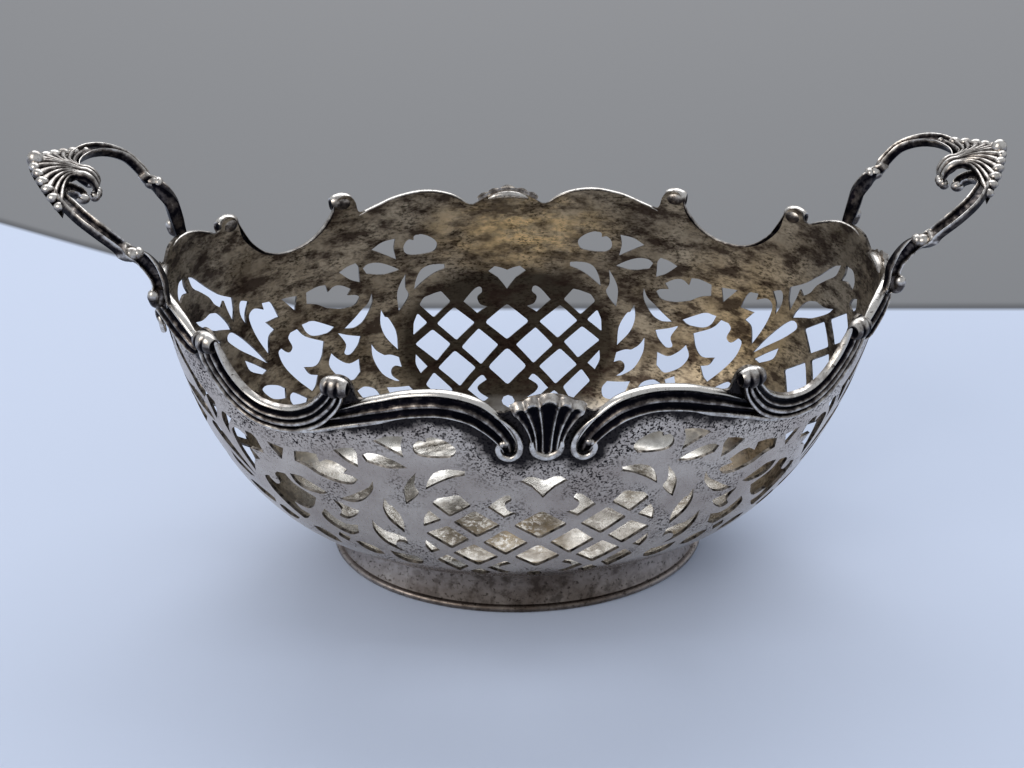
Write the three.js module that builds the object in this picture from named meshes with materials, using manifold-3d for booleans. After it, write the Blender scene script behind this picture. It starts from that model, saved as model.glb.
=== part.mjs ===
// Oval pierced silver basket on a foot ring, with two scroll and shell handles.
// Millimetres, +Z up, X along the basket, origin at the middle of the foot.
import * as THREE from 'three';
import * as BufferGeometryUtils from 'three/addons/utils/BufferGeometryUtils.js';
import Module from 'manifold-3d';

const wasm = await Module();
wasm.setup();

// bowl
const rimHalfLength = 75.6;
const rimHalfWidth = 47.2;
const rimHeight = 66;
const floorHalfLength = 38;
const floorHalfWidth = 25;
const footHeight = 9;
const sheetThickness = 0.9;
const wallTurn = THREE.MathUtils.degToRad(80);
const holeReach = 2.6;

// foot
const footHalfLength = 41.6;
const footHalfWidth = 29;
const footNeckHalfLength = 39.2;
const footNeckHalfWidth = 26.8;
const footSheet = 1;
const wireWidth = 2.2;
const wireHeight = 1.6;

// cast rim mouldings
const bandWidth = 5.4;
const bandThickness = 2;
const shellHalfWidth = 6;
const shellRib = 1.1;
const shellBody = 1;

// handles
const overallHalfLength = 100;
const handleHalfWidth = 20;
const handleRise = 25;
const limbWidth = 3;
const limbThickness = 2;
const fanThickness = 1.3;
const fanRib = 0.9;

// gap kept between neighbouring pieces
const clearance = 0.3;

const silver = { outer: 0x9a9aa2, cast: 0xb4b4b8, foot: 0x8d8780 };

// The wall is drawn on a sheet: across, 0 at a side's middle and 90 at an end,
// and up, 0 at the base of the foot and 66 at the level of the rim.
const sheetAcross = 90;
const sheetUp = 66;
const sheetFloor = 9;
const arcSteps = 360;

function wallRing(height) {
  const rise = (height - footHeight) / (rimHeight - footHeight);
  const share = THREE.MathUtils.clamp(rise, 0, 1.15);
  const turn = Math.acos(1 - share * (1 - Math.cos(wallTurn)));
  const swell = Math.sin(turn) / Math.sin(wallTurn);
  return [
    THREE.MathUtils.lerp(floorHalfLength, rimHalfLength, swell),
    THREE.MathUtils.lerp(floorHalfWidth, rimHalfWidth, swell),
  ];
}

// angle reached from a side's middle after a share of the quarter's arc
const arcTable = [0];
{
  const [a, b] = wallRing(THREE.MathUtils.lerp(footHeight, rimHeight, 0.55));
  for (let i = 1; i <= arcSteps; i++) {
    const t0 = (Math.PI / 2) * (i - 1) / arcSteps;
    const t1 = (Math.PI / 2) * i / arcSteps;
    const dx = a * (Math.sin(t1) - Math.sin(t0));
    const dy = b * (Math.cos(t1) - Math.cos(t0));
    arcTable.push(arcTable[i - 1] + Math.hypot(dx, dy));
  }
}
const quarterArc = arcTable[arcSteps];

function quarterAngle(share) {
  const target = share * quarterArc;
  let i = 1;
  while (i < arcSteps && arcTable[i] < target) i++;
  const part = (target - arcTable[i - 1]) / (arcTable[i] - arcTable[i - 1]);
  return (Math.PI / 2) * (i - 1 + part) / arcSteps;
}

// across runs from -2 to 2 quarters: 0 is the back's middle, 1 the right end, 2 the front
function turnAt(across) {
  const side = Math.sign(across) || 1;
  const share = Math.abs(across);
  return side * (share <= 1 ? quarterAngle(share) : Math.PI - quarterAngle(2 - share));
}

function bare(across, up) {
  const height = THREE.MathUtils.mapLinear(up, sheetFloor, sheetUp, footHeight, rimHeight);
  const [a, b] = wallRing(height);
  const turn = turnAt(across / sheetAcross);
  return new THREE.Vector3(a * Math.sin(turn), b * Math.cos(turn), height);
}

function wallNormal(across, up) {
  const step = 0.01;
  const low = Math.max(up, sheetFloor + step);
  const du = bare(across + step, low).sub(bare(across - step, low));
  const dv = bare(across, low + step).sub(bare(across, low - step));
  return dv.cross(du).normalize();
}

function wall(across, up, offset) {
  return bare(across, up).addScaledVector(wallNormal(across, up), offset);
}

// closed mesh from rings of points, capped at both ends
function skin(rings, capShares) {
  const n = rings[0].length;
  const points = rings.flat();
  const index = [];
  for (let i = 0; i < rings.length - 1; i++) {
    for (let j = 0; j < n; j++) {
      const k = (j + 1) % n;
      index.push(i * n + j, i * n + k, (i + 1) * n + k, i * n + j, (i + 1) * n + k, (i + 1) * n + j);
    }
  }
  const last = (rings.length - 1) * n;
  if (capShares) {
    const contour = capShares.map((p) => new THREE.Vector2(p[0], p[1]));
    for (const face of THREE.ShapeUtils.triangulateShape(contour, [])) {
      const [p, q, r] = THREE.ShapeUtils.isClockWise(contour) ? [face[0], face[2], face[1]] : face;
      index.push(p, r, q, last + p, last + q, last + r);
    }
  } else {
    // a ring of two facing runs is closed by a strip between them
    for (let j = 0; j < n / 2 - 1; j++) {
      for (const [p, q, r] of [[j + 1, j, n - 1 - j], [j + 1, n - 1 - j, n - 2 - j]]) {
        index.push(p, q, r, last + p, last + r, last + q);
      }
    }
  }
  return closed(points, index);
}

function closed(points, index) {
  let volume = 0;
  for (let i = 0; i < index.length; i += 3) {
    const [p, q, r] = [points[index[i]], points[index[i + 1]], points[index[i + 2]]];
    volume += p.dot(new THREE.Vector3().crossVectors(q, r));
  }
  if (volume < 0) {
    for (let i = 0; i < index.length; i += 3) [index[i], index[i + 1]] = [index[i + 1], index[i]];
  }
  const geometry = new THREE.BufferGeometry();
  geometry.setAttribute('position', new THREE.Float32BufferAttribute(points.flatMap((p) => p.toArray()), 3));
  geometry.setIndex(index);
  return geometry;
}

function solid(geometry) {
  const plain = geometry.clone();
  plain.deleteAttribute('normal');
  plain.deleteAttribute('uv');
  const merged = BufferGeometryUtils.mergeVertices(plain, sheetThickness / 1000);
  return new wasm.Manifold(new wasm.Mesh({
    numProp: 3,
    vertProperties: new Float32Array(merged.attributes.position.array),
    triVerts: new Uint32Array(merged.index.array),
  }));
}

function geometryOf(manifold) {
  const mesh = manifold.getMesh();
  const geometry = new THREE.BufferGeometry();
  geometry.setAttribute('position', new THREE.BufferAttribute(new Float32Array(mesh.vertProperties), 3));
  geometry.setIndex(new THREE.BufferAttribute(new Uint32Array(mesh.triVerts), 1));
  return geometry;
}

const basket = new THREE.Group();

function add(name, geometry, color, roughness) {
  const material = new THREE.MeshStandardMaterial({ color, roughness, metalness: 1, flatShading: true });
  const mesh = new THREE.Mesh(geometry, material);
  mesh.name = name;
  basket.add(mesh);
}

// height of the wall's top edge along a quarter
const rimShares = [
  [0, 65.8], [4.6, 64.6], [7.7, 62.4], [11, 64], [16.5, 66.1], [24, 65.6], [32.8, 63.2], [34.2, 66.2], [37.4, 66.6], [39.2, 62.8],
  [44, 58.6], [50.5, 57], [57, 58.8], [60.8, 63.8], [62, 68.6], [65.2, 69], [66.4, 67.6], [74, 70.8], [81, 71.8], [86.6, 69.8], [90, 70.4],
];

// openings that cross a side's middle line, drawn whole
const middleShares = [
  [[-4.4, 22.2], [0, 18.8], [4.4, 22.2], [0, 26]],
  [[-4.6, 32.8], [0, 29.2], [4.6, 32.8], [0, 36.6]],
  [[0, 40.8], [4.6, 45.8], [-4.6, 45.8]],
];

// openings of one quarter of the wall, side panel trellis first, then its scrolls and foliage
const quarterShares = [
  [[7.4, 31.1], [11.8, 27.3], [7.4, 23.4], [2.9, 27.3]],
  [[10.8, 38.3], [7.5, 35.2], [5, 36.8], [7, 41.2]],
  [[13.3, 36.6], [17.5, 33.4], [13.5, 29.4], [8.9, 32.8]],
  [[16.2, 41], [14.5, 38.5], [18.4, 35.4], [21.3, 38.4]],
  [[19.4, 31.8], [15.7, 28.2], [19.6, 25], [24, 29]],
  [[14.4, 26.2], [9.7, 22.3], [14.4, 18.9], [19, 23]],
  [[7.8, 20.5], [6.6, 15.6], [9, 15], [12.4, 17.7]],
  [[21, 21.8], [17.3, 18], [20.2, 15.6], [24, 19.8]],
  [[22.5, 42.4], [19.8, 47.6], [14.8, 47.6]],
  [[22.6, 55.2], [17, 54.8], [16.6, 51.4], [22.8, 50.9]],
  [[31.2, 53.5], [25.6, 55.4], [26, 50.4]],
  [[39.6, 49.3], [35.6, 50.8], [35.2, 46.2]],
  [[34.2, 49.2], [31, 50.2], [25.7, 47.6], [30, 47]],
  [[24.2, 46.2], [27, 38.4], [24, 42]],
  [[31.4, 38.4], [32.2, 34.6], [29.3, 28.8], [28.8, 33.4]],
  [[35.9, 30.7], [35.8, 24.4], [31.8, 21.6], [29.8, 26.4]],
  [[49, 43.8], [48.4, 46.4], [39.8, 46], [35.9, 42.6], [37.6, 40.9]],
  [[51.7, 39.2], [48, 39.4], [44.1, 36.8], [50.4, 36.4]],
  [[41.4, 35.9], [33, 42.6], [36.8, 36.6]],
  [[43.4, 35.1], [38.3, 33.2], [43.4, 30.3]],
  [[46.8, 30.9], [48.5, 28.4], [46.4, 24.9], [41.6, 25]],
  [[60.2, 33.4], [55.9, 38.4], [53, 38.4], [47.8, 34.1], [56.4, 24.6]],
  [[64.2, 42.6], [63.2, 46.2], [57.8, 46.8], [56.9, 43], [62.7, 35.6]],
  [[77, 61.4], [74.9, 61], [67.2, 52.4], [68.6, 47], [73, 56.4]],
  [[75.6, 50.6], [71.4, 50.2], [69.6, 45.6], [73.4, 46.6]],
  [[71.4, 44.5], [69.4, 44], [63.9, 33.6], [68, 36.8]],
  [[69.7, 36.9], [65.2, 32.6], [69.4, 32.2]],
  [[67.6, 30], [62.8, 28.4], [65.6, 24.8], [70, 27.4]],
  [[62, 26], [58.4, 24.2], [62.8, 20.6]],
  [[83.6, 61.6], [79.2, 61.6], [78.8, 58.4], [83.8, 58]],
  [[44.4, 22.6], [39.4, 22.2], [38.6, 17.6], [47, 17.2]],
];

// trellis of the end panels, as steps from the end's middle line
const endPitchAcross = 5.7;
const endPitchUp = 5.2;
const endMiddleUp = 38.6;
const endBarShare = 0.32;
const endCellShares = [[0, 1], [0, -1], [1, 0], [1, 2], [2, 1], [2, -1], [1, -2]];

function openingCutter(outlineShares) {
  const outer = [];
  const inner = [];
  for (const [across, up] of outlineShares) {
    outer.push(wall(across, up, holeReach));
    inner.push(wall(across, up, -holeReach));
  }
  return solid(skin([inner, outer], outlineShares));
}

function bowlGeometry() {
  const rowShares = [0, 0.34, 0.62, 0.83, 1];
  const rows = rowShares.length - 1;
  const columns = [];
  for (const [turn, side] of [[0, 1], [2, -1], [-2, 1], [0, -1]]) {
    const run = rimShares.map(([across, up]) => [turn * sheetAcross + side * across, up]);
    if (side < 0) run.reverse();
    columns.push(...run.slice(0, -1));
  }
  const order = columns.map(([across, up]) => [across > sheetAcross * 2 - 0.001 ? -across : across, up]);
  const n = order.length;
  const points = [];
  for (const offset of [sheetThickness / 2, -sheetThickness / 2]) {
    for (let r = 0; r <= rows; r++) {
      for (const [across, top] of order) {
        const share = (top - sheetFloor) / (sheetUp - sheetFloor);
        const turn = Math.acos(1 - share * (1 - Math.cos(wallTurn))) * rowShares[r];
        const up = sheetFloor + (sheetUp - sheetFloor) * (1 - Math.cos(turn)) / (1 - Math.cos(wallTurn));
        points.push(wall(across, up, offset));
      }
    }
    for (const share of [0.5]) {
      for (const [across] of order) {
        const edge = bare(across, sheetFloor);
        points.push(new THREE.Vector3(edge.x * share, edge.y * share, footHeight - offset));
      }
    }
    points.push(new THREE.Vector3(0, 0, footHeight - offset));
  }
  const layer = n * (rows + 2) + 1;
  const index = [];
  const quad = (a, b, c, d, flip) => (flip ? index.push(a, c, b, a, d, c) : index.push(a, b, c, a, c, d));
  for (const k of [0, 1]) {
    const base = k * layer;
    for (let j = 0; j < n; j++) {
      const m = (j + 1) % n;
      for (let r = 0; r < rows; r++) {
        quad(base + r * n + j, base + r * n + m, base + (r + 1) * n + m, base + (r + 1) * n + j, k === 1);
      }
      const ring = base + (rows + 1) * n;
      quad(ring + j, ring + m, base + m, base + j, k === 1);
      if (k === 0) index.push(base + layer - 1, ring + m, ring + j);
      else index.push(base + layer - 1, ring + j, ring + m);
    }
  }
  for (let j = 0; j < n; j++) {
    const m = (j + 1) % n;
    quad(rows * n + j, rows * n + m, layer + rows * n + m, layer + rows * n + j, false);
  }
  return closed(points, index);
}

// one open bowl, then every opening is cut through its wall
let bowl = solid(bowlGeometry());
const outlines = [];
for (const outline of middleShares) {
  outlines.push(outline, outline.map(([across, up]) => [2 * sheetAcross - across, up]));
}
for (const outline of quarterShares) {
  for (const [turn, side] of [[0, 1], [0, -1], [2, -1], [-2, 1]]) {
    outlines.push(outline.map(([across, up]) => [turn * sheetAcross + side * across, up]));
  }
}
for (const [across, up] of endCellShares) {
  for (const side of across === 0 ? [1] : [1, -1]) {
    for (const end of [1, -1]) {
      const x = end * (sheetAcross + side * across * endPitchAcross);
      const y = endMiddleUp + up * endPitchUp;
      const halfAcross = endPitchAcross * (1 - endBarShare);
      const halfUp = endPitchUp * (1 - endBarShare);
      outlines.push([[x - halfAcross, y], [x, y - halfUp], [x + halfAcross, y], [x, y + halfUp]]);
    }
  }
}
for (const outline of outlines) bowl = bowl.subtract(openingCutter(outline));
add('bowl', geometryOf(bowl), silver.outer, 0.35);

// oval band of the foot, its profile drawn as [height, outward place]
function ovalRing(profile, steps) {
  const rings = [];
  for (let i = 0; i <= steps; i++) {
    const turn = (2 * Math.PI * (i % steps)) / steps;
    rings.push(profile.map(([height, a, b]) => new THREE.Vector3(a * Math.cos(turn), b * Math.sin(turn), height)));
  }
  const n = profile.length;
  const points = rings.slice(0, steps).flat();
  const index = [];
  for (let i = 0; i < steps; i++) {
    for (let j = 0; j < n; j++) {
      const k = (j + 1) % n;
      const next = ((i + 1) % steps) * n;
      index.push(i * n + j, i * n + k, next + k, i * n + j, next + k, next + j);
    }
  }
  return closed(points, index);
}
const footSteps = 48;
const footTop = footHeight - sheetThickness / 2 - clearance;
const footBottom = wireHeight + clearance;
const footMiddle = (footTop + footBottom) / 2;
add('foot_ring', ovalRing([
  [footBottom, footHalfLength, footHalfWidth],
  [footMiddle, (footHalfLength + footNeckHalfLength) / 2 - footSheet / 4, (footHalfWidth + footNeckHalfWidth) / 2 - footSheet / 4],
  [footTop, footNeckHalfLength, footNeckHalfWidth],
  [footTop, footNeckHalfLength - footSheet, footNeckHalfWidth - footSheet],
  [footBottom, footHalfLength - footSheet, footHalfWidth - footSheet],
], footSteps), silver.foot, 0.4);
const wireOut = wireWidth / 2;
add('foot_base_wire', ovalRing([
  [0, footHalfLength + wireOut / 3, footHalfWidth + wireOut / 3],
  [wireHeight / 2, footHalfLength + wireOut, footHalfWidth + wireOut],
  [wireHeight, footHalfLength + wireOut / 3, footHalfWidth + wireOut / 3],
  [wireHeight, footHalfLength - wireOut, footHalfWidth - wireOut],
  [0, footHalfLength - wireOut, footHalfWidth - wireOut],
], footSteps), silver.foot, 0.35);

// reeded moulding: stations on the sheet as [across, up, width share, thickness share]
const reedShares = [
  [-0.5, 0], [-0.5, 0.85], [-0.42, 0.95], [-0.24, 0.55], [-0.04, 0.62], [0.06, 0.82], [0.2, 0.42], [0.34, 0.62], [0.5, 0.5], [0.5, 0],
];
const castOffset = sheetThickness / 2 + clearance;

function moulding(stationShares, turn, side, hand) {
  const at = (i) => {
    const [across, up] = stationShares[THREE.MathUtils.clamp(i, 0, stationShares.length - 1)];
    return [turn * sheetAcross + side * across, up];
  };
  const rings = stationShares.map(([, , widthShare, thicknessShare], i) => {
    const [across, up] = at(i);
    const tangent = bare(...at(i + 1)).sub(bare(...at(i - 1))).normalize();
    const normal = wallNormal(across, up);
    const upward = new THREE.Vector3().crossVectors(normal, tangent).multiplyScalar(side * hand);
    return reedShares.map(([b, n]) => wall(across, up, castOffset)
      .addScaledVector(upward, b * widthShare * bandWidth)
      .addScaledVector(normal, n * thicknessShare * bandThickness));
  });
  return skin(rings, reedShares);
}

const archShares = [
  [34, 59.9, 0.72, 0.8], [31.4, 60.8, 0.86, 1], [28, 61.9, 0.95, 1], [24, 63.2, 1, 1], [18.5, 63.9, 1, 1], [13.6, 62.8, 1, 1],
  [10.5, 60.6, 0.92, 1], [8.4, 58.2, 0.8, 1], [7, 56, 0.72, 1], [6.5, 54.4, 0.66, 0.95], [6.5, 53.3, 0.5, 0.8],
];
const swoopShares = [
  [36.2, 66.6, 0.8, 0.9], [36.4, 65.4, 0.86, 1.3], [37, 63.4, 0.88, 1.2], [38.6, 60.8, 0.94, 1.05], [41.5, 57.7, 0.98, 1], [45.6, 55.4, 1, 1],
  [50, 54.5, 1, 1], [54.4, 54.9, 1, 1], [58, 57, 0.97, 1], [60.8, 60.4, 0.92, 1.05], [62.3, 63.9, 0.88, 1.2], [63.1, 66.8, 0.86, 1.3], [63.5, 68.4, 0.8, 0.9],
];
const endScrollShares = [
  [66.8, 64, 0.8, 0.9], [71, 66.6, 0.94, 1], [75.6, 68.4, 0.98, 1], [79.8, 68.5, 0.94, 1], [82.4, 66.7, 0.82, 1],
  [83.8, 64.4, 0.7, 1], [84.3, 62.4, 0.62, 0.95], [84.4, 61, 0.5, 0.8],
];
for (const [sideName, far, turn, flip] of [['back', 0, 0, 1], ['front', 2, 2, -1]]) {
  for (const [endName, end] of [['left', -1], ['right', 1]]) {
    const start = turn === 0 ? 0 : end * far;
    const side = turn === 0 ? end : -end;
    add(`${sideName}_${endName}_arch_scroll`, moulding(archShares, start, side, 1), silver.cast, 0.3);
    add(`${sideName}_${endName}_swoop_scroll`, moulding(swoopShares, start, side, -1), silver.cast, 0.3);
    add(`${sideName}_${endName}_end_scroll`, moulding(endScrollShares, start, side, -1), silver.cast, 0.3);
  }
}

// fluted shell on the wall: rows as [up, half width share, body share, scallop share]
const fluteCount = 5;
function shell(rowShares, middle) {
  const steps = fluteCount * 2;
  const rings = rowShares.map(([up, widthShare, bodyShare, scallopShare]) => {
    const ring = [];
    for (let j = 0; j <= steps; j++) {
      const across = THREE.MathUtils.mapLinear(j, 0, steps, -1, 1);
      const place = middle * sheetAcross + across * widthShare * shellHalfWidth * sheetAcross / quarterArc;
      const crest = j % 2 === 1 ? 1 : 0;
      const rise = crest * scallopShare;
      const height = castOffset + (shellBody + shellRib * crest) * bodyShare;
      ring.push(wall(place, up + rise, height));
    }
    for (let j = steps; j >= 0; j--) {
      const across = THREE.MathUtils.mapLinear(j, 0, steps, -1, 1);
      ring.push(wall(middle * sheetAcross + across * widthShare * shellHalfWidth * sheetAcross / quarterArc, up, castOffset));
    }
    return ring;
  });
  return skin(rings);
}
const sideShellShares = [
  [52.5, 0.3, 0.7, 0], [53.5, 0.5, 1.2, 0], [55, 0.56, 1, 0], [58.6, 0.7, 1, 0], [62.4, 0.9, 1, 0.2], [65, 1.08, 1.2, 0.4], [66.2, 1.04, 0.6, 0.3],
];
const endShellShares = [
  [58.5, 0.26, 0.7, 0], [59.4, 0.4, 1.2, 0], [60.8, 0.44, 1, 0], [64, 0.55, 1, 0], [67.4, 0.7, 1, 0.2], [69.8, 0.82, 1.2, 0.4], [71, 0.78, 0.6, 0.3],
];
add('back_shell', shell(sideShellShares, 0), silver.cast, 0.3);
add('front_shell', shell(sideShellShares, 2), silver.cast, 0.3);
add('right_end_shell', shell(endShellShares, 1), silver.cast, 0.3);
add('left_end_shell', shell(endShellShares, -1), silver.cast, 0.3);

// handle limb: lower stations from its place on the rim, the rest from the end of the rim
const footShares = [75.6, 71.6];
const endShares = [90, 71.2];
const endTop = wall(...endShares, 0);
const handleReach = overallHalfLength - fanThickness / 2 - endTop.x;
const limbSection = [
  [-0.5, 0], [-0.5, 1], [-0.3, 1], [-0.18, 0.5], [0.18, 0.5], [0.3, 1], [0.5, 1], [0.5, 0],
];
// [x share, y share, z share, width share, thickness share, facing]
const limbFootShares = [
  [0, 0, 0, 0.9, 0.9, 0], [0, -0.01, 0.07, 0.85, 0.9, 0], [0.03, -0.05, 0.2, 0.9, 1, 0.1],
];
const limbShares = [
  [-0.02, 0.8, 0.3, 0.95, 1, 0.2], [0.05, 0.83, 0.39, 0.9, 1, 0.3], [0.1, 0.86, 0.425, 1.2, 1.5, 0.5], [0.15, 0.89, 0.47, 1.2, 1.4, 0.8], [0.2, 0.915, 0.53, 0.95, 1, 1],
  [0.324, 0.93, 0.648, 0.98, 1, 1], [0.473, 0.84, 0.735, 0.98, 1, 1], [0.599, 0.675, 0.785, 0.94, 1, 1], [0.685, 0.5, 0.79, 0.86, 1, 1],
  [0.705, 0.36, 0.78, 0.8, 1, 1], [0.66, 0.23, 0.757, 0.72, 1, 1], [0.59, 0.18, 0.71, 0.6, 1, 1], [0.55, 0.19, 0.67, 0.5, 0.9, 1],
];
function limb(end, side) {
  const foot = wall(...footShares, castOffset + bandThickness / 2);
  const stations = limbFootShares.map(([x, y, z, w, t, face]) => ({
    place: new THREE.Vector3(foot.x + x * handleReach, foot.y + y * handleHalfWidth, foot.z + clearance + z * handleRise),
    w, t, face,
  })).concat(limbShares.map(([x, y, z, w, t, face]) => ({
    place: new THREE.Vector3(endTop.x + x * handleReach, y * handleHalfWidth, endTop.z + z * handleRise),
    w, t, face,
  })));
  const low = new THREE.Vector3(0.5, 0.85, 0.2);
  const high = new THREE.Vector3(-0.55, 0.25, 0.8);
  const rings = stations.map(({ place, w, t, face }, i) => {
    const ahead = stations[Math.min(i + 1, stations.length - 1)].place;
    const behind = stations[Math.max(i - 1, 0)].place;
    const tangent = ahead.clone().sub(behind).normalize();
    const normal = low.clone().lerp(high, face);
    normal.addScaledVector(tangent, -normal.dot(tangent)).normalize();
    const across = new THREE.Vector3().crossVectors(tangent, normal);
    return limbSection.map(([b, n]) => {
      const p = place.clone().addScaledVector(across, b * w * limbWidth)
        .addScaledVector(normal, (n - 0.5) * t * limbThickness);
      return new THREE.Vector3(end * p.x, side * p.y, p.z);
    });
  });
  return skin(rings, limbSection);
}

// fan shell: a tongue between the volutes, then ribs from its throat round the
// outside of the limbs to a scalloped edge
const fanRibs = 9;
// along the tongue: [x share, z share, half width share]
const tongueShares = [[0.45, 0.7, 0.06], [0.475, 0.765, 0.09], [0.55, 0.825, 0.09], [0.635, 0.84, 0.075], [0.7, 0.84, 0.07]];
const fanStepShares = [0.2, 0.45, 0.7, 0.9, 1];
// edge of the fan: [x share at the tip, drawn back by, half width share, z share at the tip, drop]
const fanEdgeShares = [1.006, 0.32, 0.7, 0.985, 0.2];
const fanBulgeShare = 0.085;
function fan(end) {
  const steps = fanRibs * 2;
  const [throatX, throatZ, throatHalf] = tongueShares[tongueShares.length - 1];
  const [tipX, back, half, tipZ, drop] = fanEdgeShares;
  const rowAt = (place, ribShare) => {
    const top = [];
    const bottom = [];
    const tilt = new THREE.Vector3(-0.35, 0, 0.94);
    for (let j = 0; j <= steps; j++) {
      const c = THREE.MathUtils.mapLinear(j, 0, steps, -1, 1);
      const p = place(c);
      const at = new THREE.Vector3(endTop.x + p[0] * handleReach, p[1] * handleHalfWidth, endTop.z + p[2] * handleRise);
      top.push(at.clone().addScaledVector(tilt, j % 2 === 1 ? fanRib * ribShare : 0));
      bottom.unshift(at.clone().addScaledVector(tilt, -fanThickness));
    }
    return top.concat(bottom).map((p) => new THREE.Vector3(end * p.x, p.y, p.z));
  };
  const rings = tongueShares.map(([x, z, halfShare]) => rowAt((c) => [x, c * halfShare, z], 0.3));
  for (const u of fanStepShares) {
    rings.push(rowAt((c) => {
      const size = Math.abs(c);
      return [
        THREE.MathUtils.lerp(throatX, tipX - back * size ** 1.7, u) + fanBulgeShare * size ** 1.2 * Math.sin(Math.PI * u),
        c * THREE.MathUtils.lerp(throatHalf, half, u),
        THREE.MathUtils.lerp(throatZ, tipZ - drop * size ** 1.3, u),
      ];
    }, 0.3 + 0.7 * u));
  }
  return skin(rings);
}
for (const [endName, end] of [['left', -1], ['right', 1]]) {
  add(`${endName}_handle_front_limb`, limb(end, -1), silver.cast, 0.3);
  add(`${endName}_handle_back_limb`, limb(end, 1), silver.cast, 0.3);
  add(`${endName}_handle_shell`, fan(end), silver.cast, 0.3);
}

export default basket;
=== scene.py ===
import bpy
import math
from functools import partial
from mathutils import Matrix, Vector


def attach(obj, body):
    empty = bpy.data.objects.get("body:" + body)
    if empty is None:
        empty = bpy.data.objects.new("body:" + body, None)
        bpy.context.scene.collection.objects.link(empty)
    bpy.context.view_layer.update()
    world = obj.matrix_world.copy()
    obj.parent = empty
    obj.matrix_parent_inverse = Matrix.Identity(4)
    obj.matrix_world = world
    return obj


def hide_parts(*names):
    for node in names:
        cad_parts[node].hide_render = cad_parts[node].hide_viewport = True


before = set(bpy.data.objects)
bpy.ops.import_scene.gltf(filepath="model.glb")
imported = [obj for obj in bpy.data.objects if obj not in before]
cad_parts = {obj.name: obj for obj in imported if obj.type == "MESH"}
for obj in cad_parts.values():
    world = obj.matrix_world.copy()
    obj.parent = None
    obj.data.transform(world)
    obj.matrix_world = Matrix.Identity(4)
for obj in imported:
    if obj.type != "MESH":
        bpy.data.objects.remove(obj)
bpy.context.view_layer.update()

mm = 0.001  # every size below is in millimetres until it meets this


def hexColour(text):
    # sRGB hex to the linear colour that a shader socket takes
    parts = [int(text[i:i + 2], 16) / 255 for i in (1, 3, 5)]
    return tuple(c / 12.92 if c <= 0.04045 else ((c + 0.055) / 1.055) ** 2.4 for c in parts) + (1.0,)


def lerp(a, b, t):
    return a + (b - a) * t


def clamp(v, low=0.0, high=1.0):
    return max(low, min(high, v))


# camera, at the photograph's angle
view = {
    "place": (-30.0, -289.4, 214.9), "azimuth": -5.45, "elevation": 31.0, "roll": 1.42,
    "lens": 54.07, "film": 36, "near": 10, "far": 20000,
}
camData = bpy.data.cameras.new("viewCamera")
camData.lens = view["lens"]
camData.sensor_width = view["film"]
camData.clip_start, camData.clip_end = view["near"] * mm, view["far"] * mm
cam = bpy.data.objects.new("viewCamera", camData)
bpy.context.collection.objects.link(cam)
azimuth, elevation, roll = (math.radians(view[k]) for k in ("azimuth", "elevation", "roll"))
back = Vector((math.sin(azimuth) * math.cos(elevation), -math.cos(azimuth) * math.cos(elevation), math.sin(elevation)))
right = Vector((math.cos(azimuth), math.sin(azimuth), 0))
up = back.cross(right)
camX = right * math.cos(roll) + up * math.sin(roll)
camY = up * math.cos(roll) - right * math.sin(roll)
cam.matrix_world = Matrix((
    (camX.x, camY.x, back.x, view["place"][0] * mm),
    (camX.y, camY.y, back.y, view["place"][1] * mm),
    (camX.z, camY.z, back.z, view["place"][2] * mm),
    (0, 0, 0, 1)))
bpy.context.scene.camera = cam
bpy.context.scene.view_settings.view_transform = "Standard"
print("camera placed")

# bowl, drawn on a flat sheet: across, 0 at a side's middle and 90 at an end, and up, 66 at the rim
bowl = {
    "rimHalfLength": 75.6, "rimHalfWidth": 47.2, "rimHeight": 66.0,
    "floorHalfLength": 38.0, "floorHalfWidth": 25.0, "footHeight": 9.0,
    "thickness": 0.62, "outer": 0.45,  # the sheet, and how much of it lies outside the drawn surface
    "turn": math.radians(80), "overrun": 1.15,  # the wall's turn from the floor to the rim, and how far it runs on above
    "trueLevel": 0.55,  # share of the height where widths on the sheet are true
    "patternFloor": 12.6,
}
sheetAcross, sheetUp, sheetFloor = 90.0, 66.0, 9.0


def wallRing(height):
    # half length and half width of the bowl at a height
    rise = (height - bowl["footHeight"]) / (bowl["rimHeight"] - bowl["footHeight"])
    turn = math.acos(1 - clamp(rise, 0, bowl["overrun"]) * (1 - math.cos(bowl["turn"])))
    swell = math.sin(turn) / math.sin(bowl["turn"])
    return (lerp(bowl["floorHalfLength"], bowl["rimHalfLength"], swell),
            lerp(bowl["floorHalfWidth"], bowl["rimHalfWidth"], swell))


def makeArcTable(steps=360):
    # length of the oval from a side's middle, for turns up to its end
    ringA, ringB = wallRing(lerp(bowl["footHeight"], bowl["rimHeight"], bowl["trueLevel"]))
    table = [0.0]
    for i in range(steps):
        t0, t1 = math.pi / 2 * i / steps, math.pi / 2 * (i + 1) / steps
        chord = math.hypot(ringA * (math.sin(t1) - math.sin(t0)), ringB * (math.cos(t1) - math.cos(t0)))
        table.append(table[-1] + chord)
    return table


arcTable = makeArcTable()


def quarterTurn(share):
    # the turn that reaches a share of the quarter's length
    target = share * arcTable[-1]
    low, high = 0, len(arcTable) - 1
    while high - low > 1:
        middle = (low + high) // 2
        low, high = (middle, high) if arcTable[middle] <= target else (low, middle)
    part = (target - arcTable[low]) / (arcTable[high] - arcTable[low])
    return math.pi / 2 * (low + part) / (len(arcTable) - 1)


def turnAt(share):
    side = -1 if share < 0 else 1
    share = abs(share)
    return side * (quarterTurn(share) if share <= 1 else math.pi - quarterTurn(2 - share))


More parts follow.
